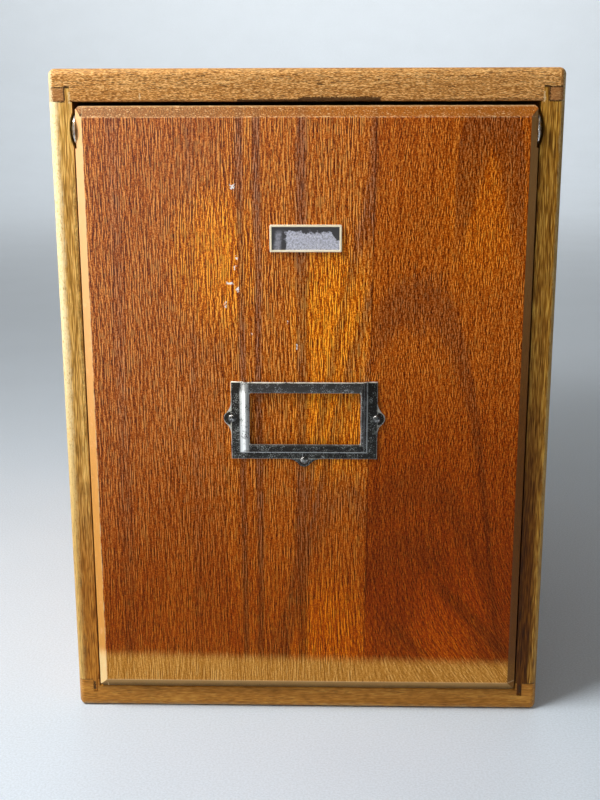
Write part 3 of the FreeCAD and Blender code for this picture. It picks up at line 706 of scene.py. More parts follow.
    def stain(self, recipe: Recipe, at: Place, colour: Term) -> Term:
        """Lays the flames, the joints of the staves and the tones of the varnish over the wood, with painted shade
        towards the foot and a painted haze reflection at the top left.
        """
        seam = at.x + (at.z - 200.0) * -0.012 - self.joints[1]
        right = recipe.smooth(seam, -0.2, 0.2)
        middle = recipe.smooth(at.x, self.joints[0] - 0.2, self.joints[0] + 0.2) * (1.0 - right)
        colour = recipe.mix(colour, self.flame, self.flames(recipe, at, right, middle), Blend.TIMES)
        glow = right * 0.0
        for x, z, share in self.gold:
            spread = ((at.x - x) / 22.0) * ((at.x - x) / 22.0) + ((at.z - z) / 40.0) * ((at.z - z) / 40.0)
            glow = glow.above(recipe.smooth(spread, 1.2, 0.0) * share)
        colour = recipe.mix(colour, self.gilt, glow + middle * 0.2, Blend.TIMES)
        colour = recipe.mix(colour, self.ruddy, right, Blend.TIMES)
        # painted shade: the door grows darker towards its foot, as if less light reached it
        colour = recipe.mix(colour, self.painted_foot_shade, recipe.smooth(at.z, 190.0, 45.0), Blend.TIMES)
        evening = recipe.smooth(at.z, 190.0, 125.0) * (1.0 - recipe.smooth(at.z, 62.0, 36.0) * 0.6)
        colour = recipe.mix(colour, self.dusk, right * evening, Blend.TIMES)
        line = recipe.smooth(abs(seam), 0.45, 0.1) + recipe.smooth(abs(at.x - self.joints[0]), 0.4, 0.1) * 0.3
        colour = recipe.mix(colour, (0.45, 0.35, 0.35), line, Blend.TIMES)
        # painted reflection: the top left corner is mixed towards a pale haze, like bright sky reflected in the
        # varnish
        corner = recipe.smooth(at.x - at.z * 0.75, -120.0, -330.0)
        return recipe.mix(colour, self.painted_haze_reflection, corner * 0.05)

    def bevels(self, recipe: Recipe, at: Place) -> tuple[Term, Term, Term]:
        """The left, right and top bevels, mitred at the corners."""
        side = (abs(at.x) - (self.half_width - self.side_bevel)) / self.side_bevel
        head = (at.z - (self.top - self.end_bevel)) / self.end_bevel
        foot = (self.bottom + self.end_bevel - at.z) / self.end_bevel
        flank = recipe.smooth(side - head.above(foot).above(0.0), 0.0, 0.06)
        left = flank * recipe.smooth(at.x, 1.0, -1.0)
        right = flank * recipe.smooth(at.x, -1.0, 1.0)
        return left, right, recipe.smooth(head - side.above(0.0), 0.0, 0.06)

    def marks(self, recipe: Recipe, at: Place, skin: Skin) -> Skin:
        """Fades the foot, rubs the bevels and chips the varnish; paints a highlight on the left bevel, shade on
        the right one, and light to shade down the foot bevel.
        """
        spot = recipe.vector(at.x, at.y, at.z)
        ragged = recipe.noise(spot / 5.0, 4.0, 0.65)
        crumb = recipe.noise(recipe.vector(at.x / 1.0 + at.z / 0.9, at.y / 0.7, at.z / 0.5), 2.0, 0.7)
        thread = self.fibres(recipe, at, (0.4, 6.0), 21.0)
        edge = self.foot[0] + at.x * self.foot[1] + (ragged - 0.5) * 1.5 + (thread - 0.5) * 4.0
        fade = recipe.smooth(edge - at.z, -3.6, 3.0)
        worn = recipe.ramp(skin.tone, list(zip((0.1, 0.5, 0.9), self.faded)))
        colour = recipe.mix(skin.colour, worn, fade)

        left, right, head = self.bevels(recipe, at)
        # painted highlight on the left bevel, which faces the light, over worn wood; stronger towards the top and
        # in the faded foot
        colour = recipe.mix(colour, self.worn_lit_bevel, left * (0.7 + thread * 0.3))
        bevel_highlight = recipe.smooth(at.z, 90.0, 270.0) * 0.8 + fade * 0.9 + recipe.smooth(ragged, 0.58, 0.7) * 0.3
        colour = recipe.mix(colour, recipe.mix(self.bevel_highlight, self.faded_bevel_highlight, fade), left * bevel_highlight.below(1.0))
        # painted shade on the right bevel, which faces away from the light
        colour = recipe.mix(colour, self.painted_bevel_shade, right * (0.55 + thread * 0.5))
        # painted light: the right bevel is lighter towards the top
        pale = recipe.smooth(at.z, 130.0, 270.0) * (0.45 + thread * 0.5)
        colour = recipe.mix(colour, (0.52, 0.27, 0.09), right * pale)
        speck = recipe.smooth(crumb + abs(at.z - self.top + 2.6) * 0.02, 0.60, 0.70)
        warm = recipe.mix((0.212, 0.100, 0.035), (0.30, 0.100, 0.013), recipe.smooth(at.x, -70.0, 40.0))
        colour = recipe.mix(colour, warm, head * (0.97 - thread * 0.45))
        colour = recipe.mix(colour, (0.10, 0.035, 0.008), head * recipe.smooth(crumb, 0.44, 0.30) * 0.6)
        colour = recipe.mix(colour, self.rubbed, head * speck * 0.7)

        bevel = self.half_width - self.side_bevel
        level = self.top - self.end_bevel
        sill = recipe.smooth((self.bottom + self.end_bevel - at.z) - abs(at.x).above(bevel) + bevel, 0.0, 0.2)
        drop = recipe.smooth(at.z + (ragged - 0.5) * 2.0, self.bottom + self.end_bevel * 0.9, self.bottom)
        # painted light and shade on the foot bevel: lighter at its upper arris, dark at its lower edge where the
        # gap above the bottom board lies in shade
        under = recipe.mix((0.42, 0.245, 0.085), (0.10, 0.052, 0.014), drop)
        colour = recipe.mix(colour, under, sill * 0.9)
        lines = recipe.smooth(abs(at.z - level), 0.5, 0.1) * recipe.smooth(crumb, 0.40, 0.6) * 0.8
        lines = lines.above(recipe.smooth(abs(at.x + bevel), 0.35, 0.1) * recipe.smooth(ragged, 0.35, 0.6))
        lines = lines.above(recipe.smooth(abs(at.z - (self.bottom + self.end_bevel)), 0.5, 0.1) * 0.7)
        lines = lines.above(recipe.smooth(at.z, self.top - 0.9, self.top - 0.2) * 0.5)
        colour = recipe.mix(colour, self.rubbed, lines * 0.6)
        colour, painted = self.lay_patches(recipe, at, colour, self.flecks, DOOR_FACE - 2.0)
        haze = recipe.smooth(at.x - at.z * 0.75, -120.0, -330.0) * 0.10
        return replace(skin, colour=colour, rough=skin.rough + painted * 0.3 + fade * 0.08,
                       height=skin.height - painted * 0.5, gloss=haze + self.gloss)


@dataclass(frozen=True)
class Metal:
    """Metal with a worn, stained skin."""

    name: str
    dull: Colour
    bright: Colour
    dull_rough: float = 0.45
    bright_rough: float = 0.28
    worn: float = 0.5
    grain: float = 3.0
    dents: float = 0.05

    def material(self) -> bpy.types.Material:
        """Builds the metal."""
        recipe = Recipe(self.name)
        spot = recipe.place()
        patch = recipe.noise(spot / self.grain, 5.0, 0.7)
        speck = recipe.noise(spot / (self.grain * 0.16), 2.0, 0.6)
        wear = recipe.smooth(patch + (speck - 0.5) * 0.4, self.worn - 0.1, self.worn + 0.14)
        colour = recipe.mix(self.dull, self.bright, wear)
        rough = self.dull_rough + wear * (self.bright_rough - self.dull_rough) + (speck - 0.5) * 0.15
        return recipe.end(Base_Color=colour, Metallic=1.0, Roughness=rough,
                          Normal=recipe.bump(patch + speck * 0.3, self.dents))


@dataclass(frozen=True)
class HolderSteel:
    """Blackened steel of the card frame, bright on its cut edges and rubbed by hands on its bends, both with
    painted highlights that are strongest on the left and above.
    """

    name: str = "holder_steel"
    centre: Spot = (-0.8, 150.5)
    half: Spot = (34.15, 18.65)
    bend_lines: Spot = (29.35, 28.0)
    foot_line: float = -15.5
    window: Spot3 = (25.95, -11.3, 13.5)
    window_shift: float = 0.4
    ear: Spot3 = (34.25, 1.0, 3.4)
    black: Colour = (0.080, 0.073, 0.069)
    sooty: Colour = (0.036, 0.033, 0.030)
    patina: Colour = (0.21, 0.22, 0.19)
    polish_and_highlight: Colour = (0.84, 0.86, 0.85)
    cut_steel: Colour = (0.82, 0.78, 0.68)

    def bends(self, recipe: Recipe, across: Term, up: Term) -> Term:
        """Wear and painted highlights on the bends: thin lines on the right and below, and a band on the left
        rubbed by hands and painted bright as if it caught the light.
        """
        side = abs(across)
        upright = recipe.smooth(up, self.foot_line - 0.3, self.foot_line + 0.3)
        # thin bright lines on the right and lower bends: painted highlights over rubbed steel
        lines = recipe.smooth(abs(side - self.bend_lines[0]), 0.36, 0.1) * 0.45
        lines = lines.above(recipe.smooth(abs(side - self.bend_lines[1]), 0.30, 0.1) * 0.3)
        # painted highlight: a bright band on the left bend, which faces the light, over rubbed steel
        rubbed_lit_band = recipe.smooth(abs(across + self.bend_lines[1] + 0.6), 1.9, 1.0)
        rubbed_lit_band = rubbed_lit_band * recipe.smooth(up, 16.8, 12.5)
        # painted highlight fading across the left bar towards the window
        lit_bar_gradient = recipe.smooth(across, -self.window[0] + 0.6, -self.window[0] - 0.6) * 0.45
        lit_bar_gradient = lit_bar_gradient * recipe.smooth(across, -self.bend_lines[0] - 0.6, -self.bend_lines[0])
        # painted reflection: a thin bright line along the foot bend
        foot = recipe.smooth(abs(up - self.foot_line), 0.36, 0.1) * recipe.smooth(side, 29.8, 29.2) * 0.5
        return (lines.above(rubbed_lit_band).above(lit_bar_gradient) * upright).above(foot)

    def cut_edges(self, recipe: Recipe, across: Term, up: Term) -> Term:
        """Bare cut edges of the sheet with painted highlights: bright above and on the left, where the light
        falls, fainter elsewhere.
        """
        side = abs(across)
        wide, low, high = self.window
        inside = abs(across - self.window_shift) - wide
        rim = recipe.smooth(inside.above(abs(up - (low + high) / 2) - (high - low) / 2), 0.34, 0.1)
        rim = rim * (recipe.smooth(inside, -0.4, 0.0) * 0.35 + 0.3)
        # painted highlight: the left flank is brighter than the right, as the side that faces the light
        flank = recipe.smooth(abs(side - self.half[0]), 0.36, 0.1)
        flank = flank * (recipe.smooth(across, 5.0, -5.0) * 0.4 + 0.4)
        foot = recipe.smooth(abs(up + self.half[1]), 0.36, 0.1) * 0.3
        from_ear = (side - self.ear[0]) * (side - self.ear[0]) + (up - self.ear[1]) * (up - self.ear[1])
        ears = recipe.smooth(from_ear ** 0.5, self.ear[2] - 0.5, self.ear[2] - 0.1) * 0.75
        ears = ears * recipe.smooth(side, self.half[0], self.half[0] + 0.3)
        # painted highlight along the top edge, lit from above
        top = recipe.smooth(up, self.half[1] - 0.6, self.half[1] - 0.3)
        return rim.above(flank).above(foot).above(ears).above(top)

    def material(self) -> bpy.types.Material:
        """Builds the blackened steel."""
        recipe = Recipe(self.name)
        spot = recipe.place()
        x, _, z = recipe.split(spot)
        across = x - self.centre[0]
        up = z - self.centre[1]
        patch = recipe.noise(spot / 4.0, 5.0, 0.7)
        speck = recipe.noise(spot / 0.5, 2.0, 0.6)
        flange = recipe.smooth(abs(across), self.bend_lines[0] + 0.2, self.bend_lines[0] + 0.8)
        flange = flange.above(recipe.smooth(up, -11.8, -12.6))
        # worn holds the rubbed bends with their painted highlights
        worn = self.bends(recipe, across, up) * recipe.smooth(patch + (speck - 0.5) * 0.6, 0.30, 0.46)
        flecks = recipe.smooth(speck + (patch - 0.5) * 0.9, 0.58, 0.76) * 0.35
        worn = worn.above(flecks)
        cut = self.cut_edges(recipe, across, up) * recipe.smooth(patch + (speck - 0.5) * 0.5, 0.28, 0.5)
        clouded = recipe.smooth(patch + (speck - 0.5) * 0.5, 0.48, 0.76) * (flange * 0.5 + 0.05)
        base = recipe.mix(recipe.mix(self.black, self.sooty, flange), self.patina, clouded)
        colour = recipe.mix(base, self.polish_and_highlight, worn)
        colour = recipe.mix(colour, self.cut_steel, cut)
        bright = worn.above(cut)
        rough = 0.44 - bright * 0.12 + (speck - 0.5) * 0.2
        return recipe.end(Base_Color=colour, Metallic=1.0 - bright * 0.6, Roughness=rough,
                          Normal=recipe.bump(patch + speck * 0.4, 0.05))


@dataclass(frozen=True)
class PlateMetal:
    """Nameplate: bright border round a dark etched field that is worn through."""

    name: str = "plate_metal"
    centre: Spot = (0.0, 235.4)
    half: Spot = (16.25, 6.1)
    border: float = 0.95
    etched: Colour = (0.068, 0.064, 0.068)
    worn_through: Colour = (0.76, 0.76, 0.88)
    rim_tone: Colour = (1.0, 0.87, 0.62)

    def material(self) -> bpy.types.Material:
        """Builds the plate."""
        recipe = Recipe(self.name)
        spot = recipe.place()
        x, _, z = recipe.split(spot)
        across = x - self.centre[0]
        up = z - self.centre[1]
        gap = (self.half[0] - abs(across)).below(self.half[1] - abs(up))
        rim = recipe.smooth(gap, self.border + 0.1, self.border - 0.1)
        patch = recipe.noise(spot / 3.0, 4.0, 0.7)
        speck = recipe.noise(spot / 0.6, 2.0, 0.7)
        shake = (patch - 0.5) * 9.0 + (speck - 0.5) * 1.6
        beyond = (-8.6 - across).above(up - 2.7).above(across + up * 1.2 - 14.0)
        worn = recipe.smooth(beyond + shake, 0.6, -0.6)
        lean = across + 12.3 - up * 0.12
        smear = recipe.smooth(abs(lean) + shake * 0.3, 2.2, 0.4) * recipe.smooth(up, 4.4, 1.6) * 0.5
        mottle = recipe.smooth(recipe.noise(spot / 0.9, 4.0, 0.8), 0.36, 0.60)
        field_colour = recipe.mix(self.etched, self.worn_through, worn.above(smear) * (0.40 + mottle * 0.55))
        glint = recipe.smooth(recipe.noise(recipe.vector(x / 0.55, 0.0, z / 0.9), 2.0, 0.6), 0.56, 0.66)
        glint = glint * worn * recipe.smooth(abs(abs(up + 1.1) - 2.2), 1.3, 0.5)
        field_colour = recipe.mix(field_colour, (0.95, 0.95, 0.97), glint)
        stain = recipe.smooth(speck, 0.62, 0.75) * 0.4
        rim_colour = recipe.mix(self.rim_tone, (0.30, 0.25, 0.17), stain)
        colour = recipe.mix(field_colour, rim_colour, rim)
        rough = 0.42 - rim * 0.08 + (patch - 0.5) * 0.2
        return recipe.end(Base_Color=colour, Metallic=0.4 - rim * 0.3, Roughness=rough,
                          Normal=recipe.bump(patch * 0.5 + speck * 0.3, 0.04))


@dataclass(frozen=True)
class PressedBoard:
    """Hardboard of the drawer bottoms: brown felted fibres."""

    name: str = "pressed_board"

    def material(self) -> bpy.types.Material:
        """Builds the board."""
        recipe = Recipe(self.name)
        spot = recipe.place()
        felt = recipe.noise(spot / 0.9, 4.0, 0.75, 1.5)
        cloud = recipe.noise(spot / 30.0, 2.0, 0.5)
        colour = recipe.ramp(felt * 0.7 + cloud * 0.3, [(0.3, (0.12, 0.06, 0.03)), (0.6, (0.27, 0.15, 0.08))])
        return recipe.end(Base_Color=colour, Roughness=0.55 + (felt - 0.5) * 0.3,
                          Normal=recipe.bump(felt, 0.06))


@dataclass(frozen=True)
class CounterTop:
    """Pale speckled counter that the cabinet stands on."""

    name: str = "counter_top"

    def material(self) -> bpy.types.Material:
        """Builds the pale floor."""
        recipe = Recipe(self.name)
        spot = recipe.place()
        speck = recipe.noise(spot / 1.1, 3.0, 0.7)
        cloud = recipe.noise(spot / 90.0, 2.0, 0.5)
        pale = [(0.35, (0.58, 0.66, 0.75)), (0.65, (0.70, 0.79, 0.90))]
        colour = recipe.ramp(speck * 0.9 + cloud * 0.1, pale)
        return recipe.end(Base_Color=colour, Roughness=0.5 + (speck - 0.5) * 0.1,
                          Normal=recipe.bump(speck, 0.03))


def add_piece(name: str, mesh: bmesh.types.BMesh, material: bpy.types.Material,
              body: str, stands_for: Sequence[str] = ()) -> bpy.types.Object:
    """Makes an object of a mesh drawn in millimetres and sets it on its body.

    Args:
        name: name of the piece.
        mesh: the mesh, which is used up.
        material: its finish.
        body: body it moves with.
        stands_for: CAD nodes that it replaces.

    Returns:
        The object.
    """
    bmesh.ops.recalc_face_normals(mesh, faces=mesh.faces)
    mesh.transform(Matrix.Scale(MM, 4))
    data = bpy.data.meshes.new(name)
    mesh.to_mesh(data)
    mesh.free()
    data.materials.append(material)
    piece = bpy.data.objects.new(name, data)
    bpy.context.scene.collection.objects.link(piece)
    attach(piece, body)
    if stands_for:
        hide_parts(*stands_for)
    log.info("%s: %d faces on %s", name, len(data.polygons), body)
    return piece


def ease_edges(piece: bpy.types.Object, width: float, steps: int = 2, angle: float = 35.0) -> None:
    """Rounds the sharp edges of a piece by a width in millimetres."""
    bevel = piece.modifiers.new("eased_edges", "BEVEL")
    bevel.width = width * MM
    bevel.segments = steps
    bevel.limit_method = "ANGLE"
    bevel.angle_limit = math.radians(angle)
    bevel.harden_normals = False


def shade_smooth(piece: bpy.types.Object, angle: float = 40.0) -> None:
    """Shades a piece smooth up to an angle between faces."""
    piece.data.shade_smooth()
    edges = piece.data.edges
    made = bmesh.new()
    made.from_mesh(piece.data)
    limit = math.radians(angle)
    for edge in made.edges:
        if len(edge.link_faces) == 2 and edge.calc_face_angle() > limit:
            edge.smooth = False
    made.to_mesh(piece.data)
    made.free()


def revolve(mesh: bmesh.types.BMesh, profile: Sequence[Spot], centre: Spot3, axis: Vector, steps: int) -> None:
    """Turns a profile round an axis.

    Args:
        mesh: mesh that takes the faces.
        profile: points of (height along the axis, radius), closed where the radius is 0.
        centre: where the axis starts, in millimetres.
        axis: direction of the axis.
        steps: faces round it.
    """
    first = axis.orthogonal().normalized()
    second = axis.cross(first)
    rings = []
    for height, radius in profile:
        middle = Vector(centre) + axis * height
        if radius == 0.0:
            rings.append([mesh.verts.new(middle)] * steps)
            continue
        ring = []
        for step in range(steps):
            angle = 2 * math.pi * step / steps
            ring.append(mesh.verts.new(middle + first * (radius * math.cos(angle)) + second * (radius * math.sin(angle))))
        rings.append(ring)
    for lower, upper in zip(rings, rings[1:]):
        for step in range(steps):
            other = (step + 1) % steps
            corner = (lower[step], lower[other], upper[other], upper[step])
            mesh.faces.new(list(dict.fromkeys(corner)))


def dress_node(node: str, material: bpy.types.Material, edge: float = 0.0) -> None:
    """Gives a CAD node its finish and eases its edges.

    Args:
        node: name of the node.
        material: its finish.
        edge: width of the eased edges in millimetres, 0 for none.
    """
    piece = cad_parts[node]
    piece.data.materials.clear()
    piece.data.materials.append(material)
    if edge:
        weld = piece.modifiers.new("joined_corners", "WELD")
        weld.merge_threshold = 0.00001
        ease_edges(piece, edge)
    log.info("%s: dressed with %s", node, material.name)


@dataclass
class Case:
    """The five boards of the case and the strips inside it."""

    edge: float = 0.35

    def dress(self) -> None:
        """Gives each board its own wood."""
        top = CaseOak("top_board_oak", Lay.SHELF, deep=(0.24, 0.090, 0.018), middle=(0.56, 0.240, 0.055),
                      pale=(0.90, 0.54, 0.21), pith=(40.0, 250.0), lean=(0.0, 0.02), thread=(0.26, 1.3),
                      thread_share=2.5, streak=(0.6, 14.0), streak_share=1.0, dash=(0.28, 2.6), dash_share=0.7,
                      rubbed=(0.52, 0.34, 0.15), rub_share=0.3, seed=11.0, patches=corner_marks(-1) + corner_marks(1) + TORN_EDGE)
        bottom = CaseOak("bottom_board_oak", Lay.SHELF, deep=(0.22, 0.082, 0.010), middle=(0.48, 0.19, 0.027),
                         pale=(0.70, 0.36, 0.07), pith=(-30.0, -60.0), lean=(0.01, -0.02), thread=(0.8, 4.5),
                         thread_share=0.9, streak_share=0.5, dash_share=0.3, rub_share=0.4, seed=23.0,
                         patches=corner_marks(-1) + corner_marks(1))
        # the right board's darker colours are painted shade of the side away from the light, partly dirt
        left = SideOak("left_side_oak", Lay.SIDE, deep=(0.26, 0.12, 0.016), middle=(0.60, 0.31, 0.065),
                       pale=(0.90, 0.58, 0.18), pith=(-20.0, -190.0), thread=(0.45, 9.0), thread_share=2.2,
                       dash_share=0.3, rub_share=0.0, seed=37.0, patches=corner_marks(-1), edge_width=5.2,
                       worn_edge_highlight=(0.92, 0.74, 0.42), edge_share=0.92, edge_foot=0.45, dark=(0.62, 0.40, 0.16),
                       dark_span=(150.0, 55.0), dark_reach=8.0)
        right = SideOak("right_side_oak", Lay.SIDE, deep=(0.12, 0.040, 0.004), middle=(0.38, 0.16, 0.016),
                        pale=(0.72, 0.40, 0.07), pith=(30.0, 200.0), thread=(0.45, 9.0), thread_share=2.2,
                        dash_share=0.3, rub_share=0.0, seed=41.0, patches=corner_marks(1), side=1,
                        edge_width=2.6, worn_edge_highlight=(0.62, 0.42, 0.17), edge_share=0.7, inner_share=0.2,
                        dark=(0.26, 0.15, 0.03), dark_span=(255.0, 70.0), dark_reach=6.6)
        back = Oak("back_panel_wood", Lay.DOOR, deep=(0.20, 0.10, 0.035), middle=(0.38, 0.205, 0.075),
                   pale=(0.52, 0.34, 0.18), pith=(10.0, 240.0), thread_share=0.9, streak_share=0.7,
                   dash_share=0.35, gloss=0.0, rough=0.7, seed=53.0)
        strips = Oak("runner_wood", Lay.RAIL, deep=(0.26, 0.16, 0.07), middle=(0.46, 0.31, 0.15),
                     pale=(0.62, 0.46, 0.26), gloss=0.0, rough=0.5, seed=61.0)
        woods = {"top_board": top, "bottom_board": bottom, "left_side": left, "right_side": right}
        for node, wood in woods.items():
            dress_node(node, wood.material(), self.edge)
        dress_node("back_panel", back.material())
        dress_node("side_runners", strips.material())


@dataclass
class LabelHolder:
    """Card frame stamped from one sheet, with the three pins that hold it."""

    centre: Spot = (-0.8, 150.5)
    half: Spot = (34.15, 18.65)
    flange: Spot = (5.5, 3.6)
    window: Spot3 = (25.95, -11.3, 13.5)
    window_shift: float = 0.4
    window_round: float = 1.1
    sheet: float = 0.8
    lift: float = 1.4
    bend: Spot = (-1.5, 0.75)
    bend_steps: int = 10
    ear_radius: float = 3.4
    ear_reach: Spot = (0.1, 0.5)
    ear_fillet: float = 7.2
    ear_rise: float = 1.0
    pin_out: Spot = (33.75, 19.15)
    pin_profile: tuple[Spot, ...] = ((-9.1, 0.0), (-8.2, 0.5), (-7.4, 0.8), (0.0, 0.8), (0.0, 1.9), (0.4, 1.86),
                                     (0.75, 1.62), (1.02, 1.22), (1.2, 0.74), (1.28, 0.3), (1.3, 0.0))

    @property
    def flange_face(self) -> float:
        """Front of the flange."""
        return DOOR_FACE - self.sheet

    def spot(self, across: float, up: float, y: float) -> Spot3:
        """A point of the holder from its own middle."""
        return (self.centre[0] + across, y, self.centre[1] + up)

    def ear(self, reach: float) -> list[Spot]:
        """Outline of an ear as (outwards, sideways), from one flank to the other."""
        fillet, radius = self.ear_fillet, self.ear_radius
        flank = math.sqrt((radius + fillet) ** 2 - (fillet - reach) ** 2)
        turn = math.atan2(flank, reach - fillet)
        start = math.atan2(-flank, fillet - reach)
        points = []
        for step in range(8):
            angle = math.pi + (turn - math.pi) * step / 7
            points.append((fillet + fillet * math.cos(angle), fillet * math.sin(angle) - flank))
        mirrored = [(out, -side) for out, side in reversed(points)]
        for step in range(1, 20):
            angle = start - 2 * start * step / 20
            points.append((reach + radius * math.cos(angle), radius * math.sin(angle)))
        return points + mirrored

    def outline(self) -> list[Spot]:
        """Outer edge of the flange, from its top right corner round to its top left one."""
        wide, tall = self.half
        flank, below = (self.ear(reach) for reach in self.ear_reach)
        right = [(wide + out, self.ear_rise - side) for out, side in flank]
        foot = [(-side, -tall - out) for out, side in below]
        left = [(-wide - out, self.ear_rise + side) for out, side in flank]
        return [(wide, tall), *right, (wide, -tall), *foot, (-wide, -tall), *left, (-wide, tall)]

    def build_frame(self) -> None:
        """Builds the stamped sheet."""
        mesh = bmesh.new()
        wide = self.half[0] - self.flange[0]
        low = -self.half[1] + self.flange[1]
        top = self.half[1]
        face = self.flange_face - self.lift
        levels = []
        for step in range(self.bend_steps + 1):
            share = step / self.bend_steps
            out = self.bend[0] + (self.bend[1] - self.bend[0]) * share
            y = face + self.lift * (3 * share ** 2 - 2 * share ** 3)
            ring = [(-wide - out, top), (-wide - out, low - out), (wide + out, low - out), (wide + out, top)]
            levels.append([mesh.verts.new(self.spot(*point, y)) for point in ring])
        for upper, lower in zip(levels, levels[1:]):
            for step in range(3):
                mesh.faces.new((upper[step], lower[step], lower[step + 1], upper[step + 1]))
        rim = [mesh.verts.new(self.spot(*point, self.flange_face)) for point in self.outline()]
        mesh.faces.new([*levels[-1], *rim])

        window = []
        inner_wide, inner_low, inner_top = self.window
        corners_at = ((-1, 1, 90), (-1, -1, 180), (1, -1, 270), (1, 1, 0))
        for side, up, start in corners_at:
            level = inner_top - self.window_round if up > 0 else inner_low + self.window_round
            arc = []
            for step in range(6):
                angle = math.radians(start + 90 * step / 5)
                across = side * (inner_wide - self.window_round) + self.window_round * math.cos(angle)
                arc.append(mesh.verts.new(self.spot(
                    across + self.window_shift, level + self.window_round * math.sin(angle), face)))
            window.append(arc)
        for step in range(4):
            corner, after = levels[0][step], levels[0][(step + 1) % 4]
            for first, second in zip(window[step], window[step][1:]):
                mesh.faces.new((corner, first, second))
            mesh.faces.new((corner, window[step][-1], window[(step + 1) % 4][0], after))
        piece = add_piece("card_frame", mesh, HolderSteel().material(), "door", ["label_holder"])
        shade_smooth(piece, 30.0)
        thick = piece.modifiers.new("sheet", "SOLIDIFY")
        thick.thickness = self.sheet * MM
        thick.offset = -1.0
        ease_edges(piece, 0.16, 2, 50.0)

    def build_pins(self) -> None:
        """Builds the three pins as one piece."""
        side, foot = self.pin_out
        mesh = bmesh.new()
        for across, up in ((-side, self.ear_rise), (side, self.ear_rise), (0.0, -foot)):
            revolve(mesh, self.pin_profile, self.spot(across, up, self.flange_face), Vector((0, -1, 0)), 32)
        steel = Metal("pin_steel", (0.10, 0.10, 0.098), (0.80, 0.79, 0.76), 0.28, 0.16, 0.56, 1.1, 0.12)
        piece = add_piece("card_frame_pins", mesh, steel.material(), "door", ["label_holder_pins"])
        shade_smooth(piece, 50.0)


@dataclass
class Nameplate:
    """Small plate with a raised border; its field is left plain."""

    centre: Spot = (0.0, 235.4)
    half: Spot = (16.25, 6.1)
    thick: float = 1.1
    border: float = 0.95
    recess: float = 0.3
    arris: float = 0.12

    def build(self) -> None:
        """Builds the plate from nested loops."""
        mesh = bmesh.new()
        face = DOOR_FACE - self.thick
        steps = [(0.0, DOOR_FACE), (0.0, face + self.arris), (self.arris * 0.3, face + self.arris * 0.3),
                 (self.arris, face), (self.border - 0.16, face), (self.border - 0.04, face + 0.05),
                 (self.border, face + self.recess - 0.05), (self.border + 0.06, face + self.recess)]
        loops = []
        for inset, y in steps:
            wide, tall = self.half[0] - inset, self.half[1] - inset
            clip = max(0.0, 0.35 - inset * 0.4)
            ring = [(-wide + clip, -tall), (wide - clip, -tall), (wide, -tall + clip), (wide, tall - clip),
                    (wide - clip, tall), (-wide + clip, tall), (-wide, tall - clip), (-wide, -tall + clip)]
            loops.append([mesh.verts.new((self.centre[0] + x, y, self.centre[1] + z)) for x, z in ring])
        for outer, inner in zip(loops, loops[1:]):
            for step in range(8):
                other = (step + 1) % 8
                mesh.faces.new((outer[step], outer[other], inner[other], inner[step]))
        mesh.faces.new(loops[-1])
        mesh.faces.new(list(reversed(loops[0])))
        piece = add_piece("nameplate", mesh, PlateMetal().material(), "door", ["name_plate"])
        shade_smooth(piece, 25.0)


@dataclass
class Door:
    """The door's wood and the pivot buttons that it turns on."""

    edge: float = 0.4
    pivot: Spot = (-180.25, 283.2)
    seat: float = 102.2
    button_profile: tuple[Spot, ...] = ((-13.0, 0.0), (-11.0, 1.5), (0.0, 1.5), (0.0, 7.0), (0.3, 7.3), (0.8, 7.3),
                                        (1.2, 6.5), (1.7, 5.25), (2.1, 3.95), (2.4, 2.5), (2.56, 1.1), (2.6, 0.0))

    def dress(self) -> None:
        """Gives the door its wood."""
        wood = DoorOak("door_oak", Lay.DOOR, deep=(0.085, 0.005, 0.0002), middle=(0.43, 0.090, 0.004),
                       pale=(0.83, 0.325, 0.075), pore=(0.05, 0.005, 0.0005), pith=(-60.0, -110.0),
                       lean=(0.02, 0.05), ring_gap=5.0, ring_share=0.08, thread=(0.45, 8.0), thread_share=2.1,
                       streak=(1.2, 50.0), streak_share=0.30, dash=(0.42, 4.5), dash_share=0.6, relief=0.03,
                       sheen=(1.0, 0.58, 0.25), gloss=0.03, rough=0.42, seed=3.0)
        dress_node("door_panel", wood.material(), self.edge)

    def build_buttons(self) -> None:
        """Builds the two domed buttons that the door turns on."""
        mesh = bmesh.new()
        for side in (-1, 1):
            centre = (side * self.seat, *self.pivot)
            revolve(mesh, self.button_profile, centre, Vector((side, 0, 0)), 56)
        steel = Metal("button_steel", (0.30, 0.30, 0.29), (0.74, 0.74, 0.72), 0.38, 0.2, 0.46, 2.0, 0.05)
        piece = add_piece("door_buttons", mesh, steel.material(), "door", ["pivot_buttons"])
        shade_smooth(piece, 40.0)


